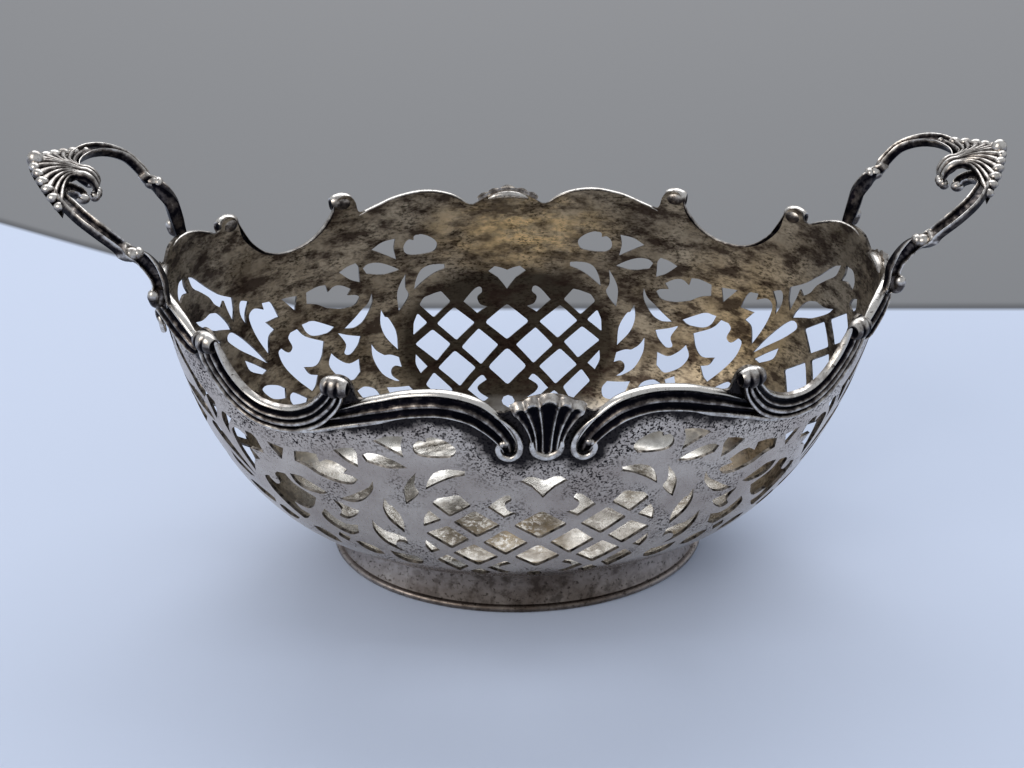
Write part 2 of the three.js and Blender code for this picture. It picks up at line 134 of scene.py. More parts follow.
def barePoint(across, upward):
    # a place of the flat sheet on the bowl's surface
    height = lerp(bowl["footHeight"], bowl["rimHeight"], (upward - sheetFloor) / (sheetUp - sheetFloor))
    ringA, ringB = wallRing(height)
    turn = turnAt(across / sheetAcross)
    return Vector((ringA * math.sin(turn), ringB * math.cos(turn), height))


def wallNormal(across, upward, step=0.01):
    low = max(upward, sheetFloor + 2 * step)
    du = barePoint(across + step, low) - barePoint(across - step, low)
    dv = barePoint(across, low + step) - barePoint(across, low - step)
    return dv.cross(du).normalized()


def wallPoint(across, upward, out=0.0):
    return barePoint(across, upward) + wallNormal(across, upward) * out


def spline(points, closed, steps):
    # smooth curve through the points; a point with a last value of 1 is a sharp corner on closed outlines
    size = 2 if closed else len(points[0])
    n = len(points)
    out = []
    for i in range(n if closed else n - 1):
        p1, p2 = points[i], points[(i + 1) % n]
        p0 = points[i - 1] if closed or i > 0 else p1
        p3 = points[(i + 2) % n] if closed or i + 2 < n else p2
        corner1 = closed and len(p1) > 2
        corner2 = closed and len(p2) > 2
        for k in range(steps):
            t = k / steps
            values = []
            for c in range(size):
                m1 = (p2[c] - p1[c]) if corner1 else (p2[c] - p0[c]) / 2
                m2 = (p2[c] - p1[c]) if corner2 else (p3[c] - p1[c]) / 2
                h = ((2 * t - 3) * t * t + 1, (t - 2) * t * t + t, (3 - 2 * t) * t * t, (t - 1) * t * t)
                values.append(h[0] * p1[c] + h[1] * m1 + h[2] * p2[c] + h[3] * m2)
            out.append(tuple(values))
    if not closed:
        out.append(tuple(points[-1]))
    return out


def roundedCell(points, radius=0.5):
    # a trellis opening, its corners eased
    out = []
    n = len(points)
    for i in range(n):
        p, q, s = Vector(points[i - 1]), Vector(points[i]), Vector(points[(i + 1) % n])
        first = q + (p - q).normalized() * radius
        last = q + (s - q).normalized() * radius
        for t in (0, 0.5, 1):
            point = first.lerp(q, t).lerp(q.lerp(last, t), t)
            out.append((point.x, point.y))
    return out


# top edge of the sheet along a quarter, with the tabs behind the rolled knobs
rimCurve = spline([
    (0, 64.8), (2.6, 64.6), (5, 64), (6.8, 62.9), (7.8, 62.4), (9, 62.7), (10.8, 63.8), (13.4, 65.2), (18.5, 66.2),
    (24, 65.6), (29, 64.2), (32.6, 63.1),
    (33.5, 63.8), (33.8, 65.6), (34.6, 67.1), (36.1, 67.7), (37.6, 67.2), (38.4, 65.5), (39.4, 62.9), (41.6, 60.3),
    (45, 58.1), (49, 57.1),
    (53, 57.1), (56.4, 58.4), (59, 60.8), (60.8, 63.8), (61.3, 67), (62, 69), (63.6, 69.8), (65.2, 69.2), (66, 67.6),
    (68, 67.4), (71, 69), (75, 70.9), (79, 71.7), (82.5, 71.3), (84.9, 69.8), (86.4, 69.1), (88.2, 69.9), (90, 70.2)], False, 3)

# cast mouldings on the sheet: across, up, width share, thickness share and how far the lip folds over the rim
moulding = {"width": 5.4, "thickness": 2.0, "seat": 0.32, "hookWire": 0.64, "rollLength": 5.1, "rollRadius": 2.3}
archPath = [
    (44.8, 54.7, 0.45, 0.3, 0), (41.8, 56.1, 0.58, 0.42, 0), (38.4, 57.7, 0.68, 0.6, 0), (35, 59.2, 0.78, 0.85, 0),
    (31.4, 60.8, 0.88, 1, 0.9), (28, 61.9, 0.96, 1, 1), (24, 63.2, 1, 1, 1), (18.5, 63.9, 1, 1, 1), (13.6, 62.8, 1, 1, 1),
    (10.5, 60.6, 0.92, 1, 0.3), (8.4, 58.2, 0.8, 1, 0), (7.1, 56, 0.72, 0.95, 0), (6.7, 54.6, 0.66, 0.8, 0),
    (6.6, 53.4, 0.56, 0.5, 0),
]
archHook = [(9.2, 62), (7.4, 60.6), (5.9, 58.8), (5, 56.9), (4.7, 55), (5.1, 53.3), (6.5, 52.3), (8.0, 52.9), (8.6, 54.4),
            (8.2, 55.7), (7.4, 56)]
swoopPath = [
    (36.4, 66.6, 0.86, 0.9, 0), (36.5, 65.4, 0.88, 1.1, 0.3), (37, 63.4, 0.9, 1.2, 0.8), (38.6, 60.8, 0.95, 1.05, 1),
    (41.5, 57.7, 0.98, 1, 1), (45.6, 55.4, 1, 1, 1),
    (50, 54.5, 1, 1, 1), (54.4, 54.9, 1, 1, 1), (58, 57, 0.97, 1, 1), (60.8, 60.4, 0.93, 1.05, 1),
    (62.3, 63.9, 0.9, 1.2, 0.8), (63.1, 66.8, 0.88, 1.1, 0.3), (63.3, 68.4, 0.86, 0.9, 0),
]
swoopTail = [(26.6, 60.6), (29.4, 59.5), (32, 58.6), (34.8, 57.6), (38, 56.4), (41.4, 54.9), (45, 53.6)]
swoopRolls = [(36.7, 65.75), (63.2, 67.55)]
endPath = [
    (66.8, 64, 0.8, 0.9, 0), (71, 66.6, 0.94, 1, 0.9), (75.6, 68.4, 0.98, 1, 1), (79.8, 68.5, 0.94, 1, 0.8),
    (82.4, 66.7, 0.82, 1, 0),
    (83.8, 64.4, 0.7, 1, 0), (84.3, 62.4, 0.62, 0.9, 0), (84.4, 61.2, 0.5, 0.6, 0),
]
endHook = [(82.6, 69.2), (84.3, 67.8), (85.5, 65.8), (86.1, 63.9), (86.2, 61.8), (85.8, 60.4), (84.5, 59.6), (83, 60.2),
           (82.5, 61.5), (82.9, 62.8), (83.6, 63.1)]

# fluted shells over the side's middle and over the end's, with half widths in millimetres
flutes = (-1, -0.68, -0.28, 0.28, 0.68, 1)
shell = {"bottom": 52.8, "top": 65.7, "halfWidth": 6.8, "footWidth": 2.7, "lipWidth": 2.7, "body": 0.85, "ridge": 0.6}
endShell = {"bottom": 59, "top": 70.2, "halfWidth": 5.0, "footWidth": 2.2, "lipWidth": 2.2, "body": 0.8, "ridge": 0.5}

# the black beside the castings, real black sulphide with painted shade under the mouldings: how many millimetres of it,
# how far it fades, and the lowest that it comes
sulphideAndShade = {
    "arch": 1.5, "archHook": 2.1, "underSwoop": 1.6, "swoop": -0.9, "end": 1.0, "shell": 1.4,
    "fade": 9.0, "lowest": 42, "bandShare": 0.42, "lift": 0.4,
}


def archSulphideAndShade(across):
    # wider beside the hooked end and nearly none where the dipping moulding takes over
    return lerp(sulphideAndShade["archHook"], sulphideAndShade["arch"], clamp((across - 9) / 11)) - sulphideAndShade["underSwoop"] * clamp((across - 31) / 12)


castPlaces = []
for path, black in ((archPath, archSulphideAndShade), (swoopPath, lambda across: sulphideAndShade["swoop"]), (endPath, lambda across: sulphideAndShade["end"])):
    for station in spline(path, False, 4):
        place = Vector((station[0], station[1] + sulphideAndShade["lift"]))
        castPlaces.append((place, moulding["width"] * sulphideAndShade["bandShare"] * station[2], black(station[0])))
for size, middle in ((shell, 0), (endShell, sheetAcross)):
    for i in range(9):
        place = Vector((middle, lerp(size["bottom"] + 2.5, size["top"] - 4, i / 8)))
        castPlaces.append((place, lerp(size["lipWidth"], size["halfWidth"], i / 8), sulphideAndShade["shell"]))


def nearCast(across, upward):
    # how black the sheet is beside the castings, sulphide and painted shade together: above 1 in the crust, 0 from a
    # few millimetres further
    if upward < sulphideAndShade["lowest"]:
        return 0.0
    here = Vector((across, upward))
    return max(0.0, max(1 - ((here - place).length - half - black) / sulphideAndShade["fade"] for place, half, black in castPlaces))


# openings on the short axis and on the end axis, half of each, from the bottom up
middleNotches = [
    [(0, 13.5), (1.7, 14.2), (2.1, 14.9), (1.4, 15.7), (0, 16)],
    [(0, 18.4), (0.6, 18.6), (4.9, 21.8), (5.2, 22.3), (4.9, 22.8), (0.6, 26.2), (0, 26.4)],
    [(0, 28.7), (0.5, 28.9), (5.1, 32.4), (5.4, 32.9), (5.1, 33.4), (0.5, 36.9), (0, 37.1)],
    [(0, 40.9), (0.9, 42.2), (2.2, 43.8), (4.5, 45.5), (3, 46.7), (1.4, 46.4), (0, 45.7)],
]
endPattern = {"pitchAcross": 5.7, "pitchUp": 5.2, "middle": 38.6, "bar": 0.2}


def endCell(across, upward):
    x = sheetAcross - across * endPattern["pitchAcross"]
    y = endPattern["middle"] + upward * endPattern["pitchUp"]
    w = endPattern["pitchAcross"] * (1 - endPattern["bar"])
    h = endPattern["pitchUp"] * (1 - endPattern["bar"])
    return x, y, w, h


endNotches = []
for level in (-3, -1, 1):
    x, y, w, h = endCell(0, level)
    tip, side = x - w, x - 0.5  # the cut cell's point, and the eased corners by the axis
    lower = [(x, y - h), (side, y - h + 0.2), (tip + 0.4, y - 0.35)]
    upper = [(tip + 0.4, y + 0.35), (side, y + h - 0.2), (x, y + h)]
    endNotches.append(lower + [(tip, y)] + upper)


def widened(points, wide=1.13, tall=1.12):
    # a trellis opening grown about its middle until the bars between are as fine as the saw left them
    x0, y0 = (sum(p[k] for p in points) / len(points) for k in (0, 1))
    return [(x0 + (x - x0) * wide, y0 + (y - y0) * tall) for x, y in points]


cells = [widened(c) for c in [
    [(7.4, 31.1), (11.8, 27.3), (7.4, 23.4), (2.9, 27.3)],
    [(13.3, 36.7), (17.5, 33.4), (13.4, 29.4), (8.8, 32.9)],
    [(16.4, 41.1), (14.4, 38.5), (18.5, 35.3), (21.4, 38.5), (20.2, 40)],
    [(19.4, 31.8), (15.6, 28.2), (19.6, 25), (24, 29.1)],
    [(14.3, 26.2), (9.6, 22.3), (14.4, 18.9), (19.1, 23)],
    [(21.1, 21.8), (17.2, 18), (20.2, 15.6), (24, 19.6)],
    [(22.6, 36.2), (20.6, 33.8), (24.4, 31.5), (23.8, 34.2)],
    [(14.4, 17), (17.1, 15.4), (14.4, 13.8), (11.8, 15.4)],
]]
for across, upward in ((1, 0), (1, 2), (2, 1), (2, -1), (1, -2)):
    x, y, w, h = endCell(across, upward)
    cells.append([(x - w, y), (x, y - h), (x + w, y), (x, y + h)])

leaves = [
    [(10.8, 38.3, 1), (7.5, 35.2, 1), (4.9, 36.7, 1), (6.7, 37.4), (7.3, 39.1), (6.1, 40.3), (6.5, 41.7), (8.1, 41.1)],
    [(7.8, 20.5), (6.2, 19.5, 1), (9.1, 18.1), (8.6, 16.8), (6.2, 15.6, 1), (8.4, 15.1), (12.3, 17.6, 1)],
    [(25, 26.8, 1), (22.5, 23.6, 1), (24.9, 22.3, 1), (25.6, 24.6)],
    [(22.6, 42.2, 1), (21.8, 44.8), (20.2, 47.2), (17.6, 48.1), (14.7, 47.9, 1), (14.8, 46.8, 1), (17.4, 45.8), (20, 44.2)],
    [(21.5, 54.6, 1), (22.8, 54.8), (23.9, 53.4), (23.8, 51.8), (22.4, 50.9), (19, 50.9), (16.8, 51.5), (16.2, 53.4),
     (17.8, 55.1), (19.9, 55.9), (21.3, 55.6)],
    [(31.4, 53.5, 1), (28.7, 55), (25.6, 55.5, 1), (26.2, 53), (25.9, 50.2, 1), (29, 52.1)],
    [(39.7, 49.4, 1), (37.6, 50.4), (35.5, 50.9, 1), (34.9, 49.6), (35.1, 47.6), (35.2, 46, 1), (37.4, 47.1)],
    [(34, 49.3, 1), (32.6, 50.2), (30.2, 50.1), (27.6, 49), (25.4, 47.6, 1), (27.8, 47.1), (30, 47), (33.3, 47.8, 1)],
    [(24, 46.6, 1), (25.9, 43.9), (26.9, 41.4), (27.1, 37.5, 1), (25.3, 39.2), (24, 41.2), (24.6, 43.2)],
    [(31.4, 38.6, 1), (32.3, 35.2), (31.7, 31.8), (29.3, 28.4, 1), (28.7, 32.6), (29.9, 36.1), (30.8, 36.7, 1)],
    [(35.9, 31, 1), (36.6, 27.6), (35.6, 23.8), (33, 21.8), (31.4, 21.4, 1), (32.9, 22.8), (32.6, 24.2), (31.2, 24.9),
     (29.6, 24.4, 1), (29.6, 26.7, 1), (31.6, 27.6), (33.4, 27.8, 1), (35, 29.1)],
    [(35.8, 20.6, 1), (32.6, 20.2), (29.3, 20, 1), (28.4, 18.4), (29.8, 16.6), (33.2, 16.4), (35.4, 18)],
    [(49.1, 43.8, 1), (48.5, 46.5, 1), (45.6, 47.2), (43.5, 47.2, 1), (43.3, 45.3, 1), (41.5, 46.4), (39.6, 46.1),
     (37.6, 44.8, 1), (38.7, 43.5, 1), (36.8, 43.2), (35.9, 42.5, 1), (37.6, 40.8), (41, 40.6), (44.5, 41.6, 1), (46.6, 43)],
    [(51.8, 39.4, 1), (49.1, 39.6), (46.7, 38.4), (43.9, 36.7, 1), (45.8, 35.8), (49.4, 35.9), (51.2, 37.2)],
    [(41.6, 35.8, 1), (38.6, 37.6), (36.4, 39.2), (34.2, 40.8), (32.9, 42.9, 1), (33.2, 40.6), (34.6, 38.4), (36.6, 36.4),
     (39, 35.5)],
    [(43.5, 35.2, 1), (41.3, 34.2), (38, 33.2, 1), (39.4, 31.3), (42, 29.6), (43.6, 30.2), (42.4, 32.2)],
    [(46.9, 31.1, 1), (48.7, 28.7), (48, 26.2), (46, 24.6), (43.8, 23.9), (41.2, 25.2, 1), (40.2, 28.2, 1), (43.4, 27.7),
     (45.6, 29.2)],
    [(60.3, 35), (59, 35.9, 1), (57.6, 34.3), (56.1, 35.2), (56.3, 37.4), (55.3, 38.5, 1), (53.2, 38.8, 1), (51.7, 36.4),
     (47.6, 34.1, 1), (49.5, 31), (52, 29.3), (55.2, 29.9, 1), (54.6, 28), (52.6, 27.2, 1), (54.6, 25.2), (56.4, 24.3, 1),
     (58.7, 27.8), (60.3, 31.6)],
    [(64.4, 43.8), (64, 46), (62.2, 46.9), (59.9, 45.8, 1), (59.9, 47.4, 1), (57.6, 46.8), (56.7, 42.9, 1), (60.3, 42.7, 1),
     (58.8, 40.4, 1), (60.9, 39.2), (62.8, 35.4, 1), (64, 40)],
    [(54.9, 46.8, 1), (50.9, 46.4, 1), (52.3, 43, 1)],
    [(65.2, 49.8), (63, 49, 1), (64.8, 46.4), (65.5, 43.9, 1), (66.2, 47)],
    [(78, 61.6, 1), (76, 60.4), (73, 56.8), (70, 53.6), (66.8, 51.4, 1), (67.4, 48.6), (68.7, 46.1, 1), (69.2, 49.4),
     (69.4, 51.8, 1), (70.6, 50.6, 1), (72.2, 52.2), (73.2, 54.4), (75.4, 56.8), (77.4, 58.8)],
    [(74.4, 51, 1), (72, 49.8), (70.3, 46.8), (69.9, 44.9, 1), (72.6, 46), (75, 47), (78.6, 49.8), (79.8, 51.6, 1),
     (77.4, 50.8)],
    [(79.4, 62.4, 1), (82, 62.2), (83.6, 60.2), (83.4, 58.2), (81, 58.9), (79.1, 58.4, 1), (79.7, 60.4)],
    [(71.2, 44.4), (72.2, 43.2), (71.2, 41.4), (69.6, 39.4), (66.8, 36.6), (63.9, 33.6, 1), (65.4, 37.4), (67.6, 41.4),
     (69.6, 43.9)],
    [(69.9, 37.2, 1), (69.8, 34.4), (66.8, 32.2, 1), (65.1, 32.6, 1), (67.4, 35)],
    [(69.4, 29.4), (67.6, 29.8), (64.4, 28.6), (62.9, 27.3, 1), (64.3, 25.4, 1), (66.4, 25.9), (68.4, 27)],
    [(62.8, 25.6), (61.2, 25.6), (58.7, 23.4, 1), (60.8, 22), (63.2, 22.4), (63.8, 24.2)],
    [(47.2, 23.6, 1), (45, 22.4, 1), (46.8, 20.4, 1), (48.4, 21.8)],
    [(44.4, 21.4, 1), (42, 21.9), (39.2, 20.8), (38.4, 18.4, 1), (41.4, 17.8), (43.6, 19.2)],
    [(55.4, 22.4, 1), (52.6, 22.6), (50.4, 20.6), (50.6, 18.2, 1), (53.4, 18.6), (55.2, 20.2)],
    [(86.4, 57.6, 1), (84.6, 56.6), (84.2, 55), (86, 54.2, 1), (87.2, 55.5)],
]
print("openings drawn:", len(cells) + len(leaves), "in a quarter")


def deselect():
    if bpy.context.object and bpy.context.object.mode != "OBJECT":
        bpy.ops.object.mode_set(mode="OBJECT")
    bpy.ops.object.select_all(action="DESELECT")


def focus(piece):
    deselect()
    piece.select_set(True)
    bpy.context.view_layer.objects.active = piece


def applyModifiers(piece):
    focus(piece)
    for modifier in list(piece.modifiers):
        bpy.ops.object.modifier_apply(modifier=modifier.name)


def weld(piece, gap=0):
    # merge what lies closer than the gap, and turn every face the same way
    focus(piece)
    bpy.ops.object.mode_set(mode="EDIT")
    bpy.ops.mesh.select_all(action="SELECT")
    if gap:
        bpy.ops.mesh.remove_doubles(threshold=gap * mm)
    bpy.ops.mesh.normals_make_consistent(inside=False)
    bpy.ops.object.mode_set(mode="OBJECT")


def flatSheet():
    # the quarter's outline, with its openings, filled flat as a 2D curve and made a mesh
    border = [(0, bowl["patternFloor"])]
    for notch in middleNotches:
        border += notch
    border += rimCurve
    for notch in reversed(endNotches):
        border += list(reversed(notch))
    border += [(90, bowl["patternFloor"])]
    outlines = [border] + [roundedCell(c) for c in cells] + [spline(l, True, 4) for l in leaves]
    curve = bpy.data.curves.new("wallPattern", "CURVE")
    curve.dimensions = "2D"
    curve.fill_mode = "BOTH"
    for outline in outlines:
        run = curve.splines.new("POLY")
        run.points.add(len(outline) - 1)
        for point, (x, y) in zip(run.points, outline):
            point.co = (x, y, 0, 1)
        run.use_cyclic_u = True
    piece = bpy.data.objects.new("wallPattern", curve)
    bpy.context.collection.objects.link(piece)
    focus(piece)
    bpy.ops.object.convert(target="MESH")
    return bpy.context.active_object


# the net that the sheet is cut on before it is bent, and the rows of the solid bottom: heights, then shares of the floor
net = {"across": 2.5, "up": 2.8, "first": 2.4, "top": 72}
bottomLevels = [bowl["patternFloor"], 11.6, 10.8, 10.1, 9.55, 9.2, 9.02]
bottomShares = [0.94, 0.84, 0.7, 0.52, 0.32, 0.12, 0]


def bendSheet(piece):
    # cut on a fine net so that the flat faces can follow the bowl, then lift each point to the wall
    focus(piece)
    bpy.ops.object.mode_set(mode="EDIT")
    for i in range(1, round(sheetAcross / net["across"])):
        bpy.ops.mesh.select_all(action="SELECT")
        bpy.ops.mesh.bisect(plane_co=(i * net["across"], 0, 0), plane_no=(1, 0, 0))
    level = bowl["patternFloor"] + net["first"]
    while level < net["top"]:
        bpy.ops.mesh.select_all(action="SELECT")
        bpy.ops.mesh.bisect(plane_co=(0, level, 0), plane_no=(0, 1, 0))
        level += net["up"]
    bpy.ops.object.mode_set(mode="OBJECT")
    # the black beside the castings, sulphide with painted shade, is kept on the points
    black = [nearCast(v.co.x, v.co.y) for v in piece.data.vertices]
    piece.data.attributes.new("sulphideAndShade", "FLOAT", "POINT").data.foreach_set("value", black)
    for vertex in piece.data.vertices:
        vertex.co = barePoint(vertex.co.x, vertex.co.y) * mm


def bowlFloor():
    # the solid bottom, from the first row of the pattern to the middle
    perRow = round(sheetAcross / net["across"]) + 1
    bpy.ops.mesh.primitive_grid_add(x_subdivisions=perRow - 1, y_subdivisions=len(bottomLevels) + len(bottomShares) - 1, size=1)
    piece = bpy.context.active_object
    for i, vertex in enumerate(piece.data.vertices):
        row, column = divmod(i, perRow)
        if row < len(bottomLevels):
            vertex.co = barePoint(column * net["across"], bottomLevels[row]) * mm
        else:
            edge = barePoint(column * net["across"], sheetFloor)
            share = bottomShares[row - len(bottomLevels)]
            vertex.co = Vector((edge.x * share, edge.y * share, bowl["footHeight"])) * mm
    piece.data.attributes.new("sulphideAndShade", "FLOAT", "POINT")
    return piece


def wallFrom(point, step=0.05):
    # outward normal of the bowl's surface at a place on it
    height = point.z / mm
    ringA, ringB = wallRing(height)
    nextA, nextB = wallRing(height + step)
    x, y = point.x / mm, point.y / mm
    slopeA, slopeB = (nextA - ringA) / step, (nextB - ringB) / step
    return Vector((x / ringA ** 2, y / ringB ** 2, -(x * x * slopeA / ringA ** 3 + y * y * slopeB / ringB ** 3))).normalized()


def makeBowl():
    deselect()
    sheet = flatSheet()
    bendSheet(sheet)
    deselect()
    base = bowlFloor()
    base.select_set(True)
    sheet.select_set(True)
    bpy.context.view_layer.objects.active = sheet
    bpy.ops.object.join()
    piece = bpy.context.active_object
    piece.name = piece.data.name = "piercedBowl"
    seam = 0.03  # millimetres between points that are one
    weld(piece, seam)
    mirror = piece.modifiers.new("quarters", "MIRROR")
    mirror.use_axis = (True, True, False)
    mirror.merge_threshold = seam * mm
    applyModifiers(piece)
    weld(piece)
    lowest = min(piece.data.polygons, key=lambda f: (f.center.x ** 2 + f.center.y ** 2))
    if lowest.normal.z > 0:
        piece.data.flip_normals()
    wall = piece.modifiers.new("thickness", "SOLIDIFY")
    wall.thickness = bowl["thickness"] * mm
    wall.offset = 2 * bowl["outer"] / bowl["thickness"] - 1
    wall.material_offset = 1
    wall.material_offset_rim = 2
    for material in (outsideFinish(), insideFinish(), sawnFinish()):
        piece.data.materials.append(material)
    applyModifiers(piece)
    return piece


# where the smooth shading passes from the wall to the flat floor: heights, and shares of the floor's half sizes
floorTurn = {"wallAbove": 12.5, "lowest": 10.5, "start": 0.95, "width": 0.25}


def surfaceNormal(point):
    if point.z > floorTurn["wallAbove"] * mm:
        return wallFrom(point)
    outward = math.hypot(point.x / bowl["floorHalfLength"], point.y / bowl["floorHalfWidth"]) / mm
    share = clamp((outward - floorTurn["start"]) / floorTurn["width"])
    flat = Vector((0, 0, -1))
    if share == 0:
        return flat
    return flat.lerp(wallFrom(Vector((point.x, point.y, max(point.z, floorTurn["lowest"] * mm)))), share).normalized()


def easeNormals(piece, facing=0.6):
    # the wall shades as the smooth surface that it is cut from, and the sawn edges stay crisp
    mesh = piece.data
    for face in mesh.polygons:
        face.use_smooth = True
    surface = [surfaceNormal(v.co) for v in mesh.vertices]
    normals = [None] * len(mesh.loops)
    for face in mesh.polygons:
        for k in face.loop_indices:
            normal = surface[mesh.loops[k].vertex_index]
            agrees = face.normal.dot(normal)
            normals[k] = normal if agrees > facing else -normal if agrees < -facing else face.normal
    mesh.normals_split_custom_set(normals)


smoothAngle = math.radians(50)


def wrapGrid(name, rings, tones, ends=True, endTone=0.8):
    # a grid wrapped into a closed tube of rings, each end drawn to a point
    if ends:
        first, last = (sum(ring, Vector()) / len(ring) for ring in (rings[0], rings[-1]))
        rings = [[first] * len(rings[0])] + rings + [[last] * len(rings[-1])]
        tones = [[endTone] * len(tones[0])] + tones + [[endTone] * len(tones[0])]
    else:
        rings = rings + [rings[0]]
        tones = tones + [tones[0]]
    around = len(rings[0])
    deselect()
    bpy.ops.mesh.primitive_grid_add(x_subdivisions=around, y_subdivisions=len(rings) - 1, size=1)
    piece = bpy.context.active_object
    piece.name = piece.data.name = name
    mesh = piece.data
    places, shades = [], []
    for ring, tone in zip(rings, tones):
        for j in range(around + 1):
            places.extend(ring[j % around] * mm)
            shades.append(tone[j % around])
    mesh.vertices.foreach_set("co", places)
    mesh.attributes.new("patina", "FLOAT", "POINT").data.foreach_set("value", shades)
    weld(piece, 0.004)
    bpy.ops.object.shade_smooth_by_angle(angle=smoothAngle)
    return piece


def setInputs(node, inputs):
    # inputs by name, or in order; each takes a value, an sRGB hex or the output of another node
    for key, value in inputs.items() if isinstance(inputs, dict) else enumerate(inputs):
        if hasattr(value, "is_output"):
            node.id_data.links.new(value, node.inputs[key])
        else:
            node.inputs[key].default_value = hexColour(value) if isinstance(value, str) else value


def addNode(nodes, kind, inputs=(), output=0, stops=(), **settings):
    # one node with its settings, its inputs and its colour stops; gives the output that is read
    node = nodes.new("ShaderNode" + kind)
    for key, value in settings.items():
        setattr(node, key, value)
    if stops:
        elements = node.color_ramp.elements
        while len(elements) < len(stops):
            elements.new(0.5)
        for element, (position, colour) in zip(elements, stops):
            element.position = position
            element.color = hexColour(colour)
    setInputs(node, inputs)
    return node.outputs[output]


def newMaterial(name, metallic=1.0):
    # the material, the call that adds a node to it, and its shader
    material = bpy.data.materials.new(name)
    material.use_nodes = True
    nodes = material.node_tree.nodes
    shader = nodes["Principled BSDF"]
    shader.inputs["Metallic"].default_value = metallic
    return material, partial(addNode, nodes), shader


def tarnish(add, place, grain, low, high, detail=4.0, rough=0.65):
    # spots of tarnish, 0 to 1: the grain's width in millimetres, then where they begin and where they are full
    noise = add("TexNoise", {"Vector": place, "Scale": 1 / (grain * mm), "Detail": detail, "Roughness": rough})
    return add("MapRange", {"Value": noise, "From Min": low, "From Max": high}, clamp=True)


colourMix = {"output": 2, "data_type": "RGBA"}  # a Mix node that mixes colours


def dents(add, place, look, height=None):
    # shallow dents of a hand-worked sheet
    height = height or tarnish(add, place, *look["dents"])
    return add("Bump", {"Strength": look["dentShare"], "Distance": look["dentDepth"] * mm, "Height": height})


# finishes of the sheet: colours, tarnish as grain in millimetres, start, full and detail, and the shares that mix them
sheetOutside = {
    "bright": "#d3c8bc", "worn": "#b6a99e", "black": "#17151a",
    "cloud": (14, 0.36, 0.66), "patches": (3.2, 0.3, 0.7), "specks": (0.5, 0.5, 0.58), "clusters": (10, 0.52, 0.62, 2),
    "dents": (5, 0.2, 0.8, 6),
    "patchShare": 0.26, "crustAndShade": (0.84, 1.04), "crustAndShadeShare": 0.96, "besideCastings": 1.4, "inClusters": 0.75, "elsewhere": 0.08,
    "roughness": 0.25, "tarnishRoughness": 0.3, "dentShare": 0.12, "dentDepth": 0.2,
}
sheetInside = {
    "bare": "#c9bca7", "toned": "#857967", "stain": "#3a2d28", "black": "#231a14",
    "floorBright": "#f0ece4", "floorWorn": "#a8a299",
    "cloud": (11, 0.36, 0.66), "specks": (0.5, 0.47, 0.6), "speckFields": (6, 0.34, 0.6), "stains": (3.2, 0.45, 0.6),
    "net": (2.2, 0.4, 0.6, 2), "floorWear": (9, 0.4, 0.62, 3), "dents": (4, 0.2, 0.8, 2), "brushing": (0.45, 0.45, 1.0),
    "floorTop": (10.0, 16.5), "speckShare": 0.8, "stainShare": 0.88, "stainLessInGlow": 0.45,
    "netShare": 0.7, "glowLeast": 0.45,
    "floorRoughness": 0.15, "wallRoughness": 0.22, "tarnishRoughness": 0.25, "dentShare": 0.1, "dentDepth": 0.2,
    # places of painted shade (trellis) and painted warm reflection (glow, warm): middle, stretch, and how far off they
    # begin and are full, all in millimetres
    "trellis": ((0, 44, 28), (1, 1, 1.5), 32, 26), "trellisTone": "#423c34", "trellisShare": 0.95,
    "glow": ((3, 46, 56), (0.75, 1, 1.7), 20, 3), "glowTone": "#ffdfa8",
    "warm": ((58, 28, 38), (1, 1, 1), 24, 4), "warmTone": "#e6cb9e", "warmShare": 0.7,
}
sawnEdge = {"clean": "#7d766e", "grimy": "#221e1b", "grime": (1.4, 0.4, 0.62), "roughness": 0.35, "grimeRoughness": 0.2}


def outsideFinish():
    # sterling silver sheet, hand pierced and polished: worn bright, with black sulphide beside the castings that breaks
    # up into specks, and painted shade in the black band just under the mouldings
    look = sheetOutside
    material, add, shader = newMaterial("silverSheetOutside")
    place = add("TexCoord", output="Object")
    sulphideAndShade = add("Attribute", output="Fac", attribute_name="sulphideAndShade")
    patches = tarnish(add, place, *look["patches"])
    # painted shade: the black band beside the castings is partly painted shade under the mouldings, on top of real
    # sulphide
    reach = add("Math", [patches, look["patchShare"], sulphideAndShade], operation="MULTIPLY_ADD")
    crustAndShade = add("MapRange", {"Value": reach, "From Min": look["crustAndShade"][0], "From Max": look["crustAndShade"][1]}, clamp=True)
    crustAndShade = add("Math", [crustAndShade, look["crustAndShadeShare"]], operation="MULTIPLY")
    clusters = tarnish(add, place, *look["clusters"])
    strewn = add("Math", [clusters, look["inClusters"], look["elsewhere"]], operation="MULTIPLY_ADD")
    strewn = add("Math", [sulphideAndShade, look["besideCastings"], strewn], operation="MULTIPLY_ADD")
    specks = add("Math", [tarnish(add, place, *look["specks"]), strewn], operation="MULTIPLY")
    dark = add("Math", [specks, crustAndShade], operation="MAXIMUM")
    base = add("Mix", {0: tarnish(add, place, *look["cloud"]), 6: look["bright"], 7: look["worn"]}, **colourMix)
    setInputs(shader, {
        "Base Color": add("Mix", {0: dark, 6: base, 7: look["black"]}, **colourMix),
        "Roughness": add("Math", [dark, look["tarnishRoughness"], look["roughness"]], operation="MULTIPLY_ADD"),
        "Normal": dents(add, place, look),
    })
    return material


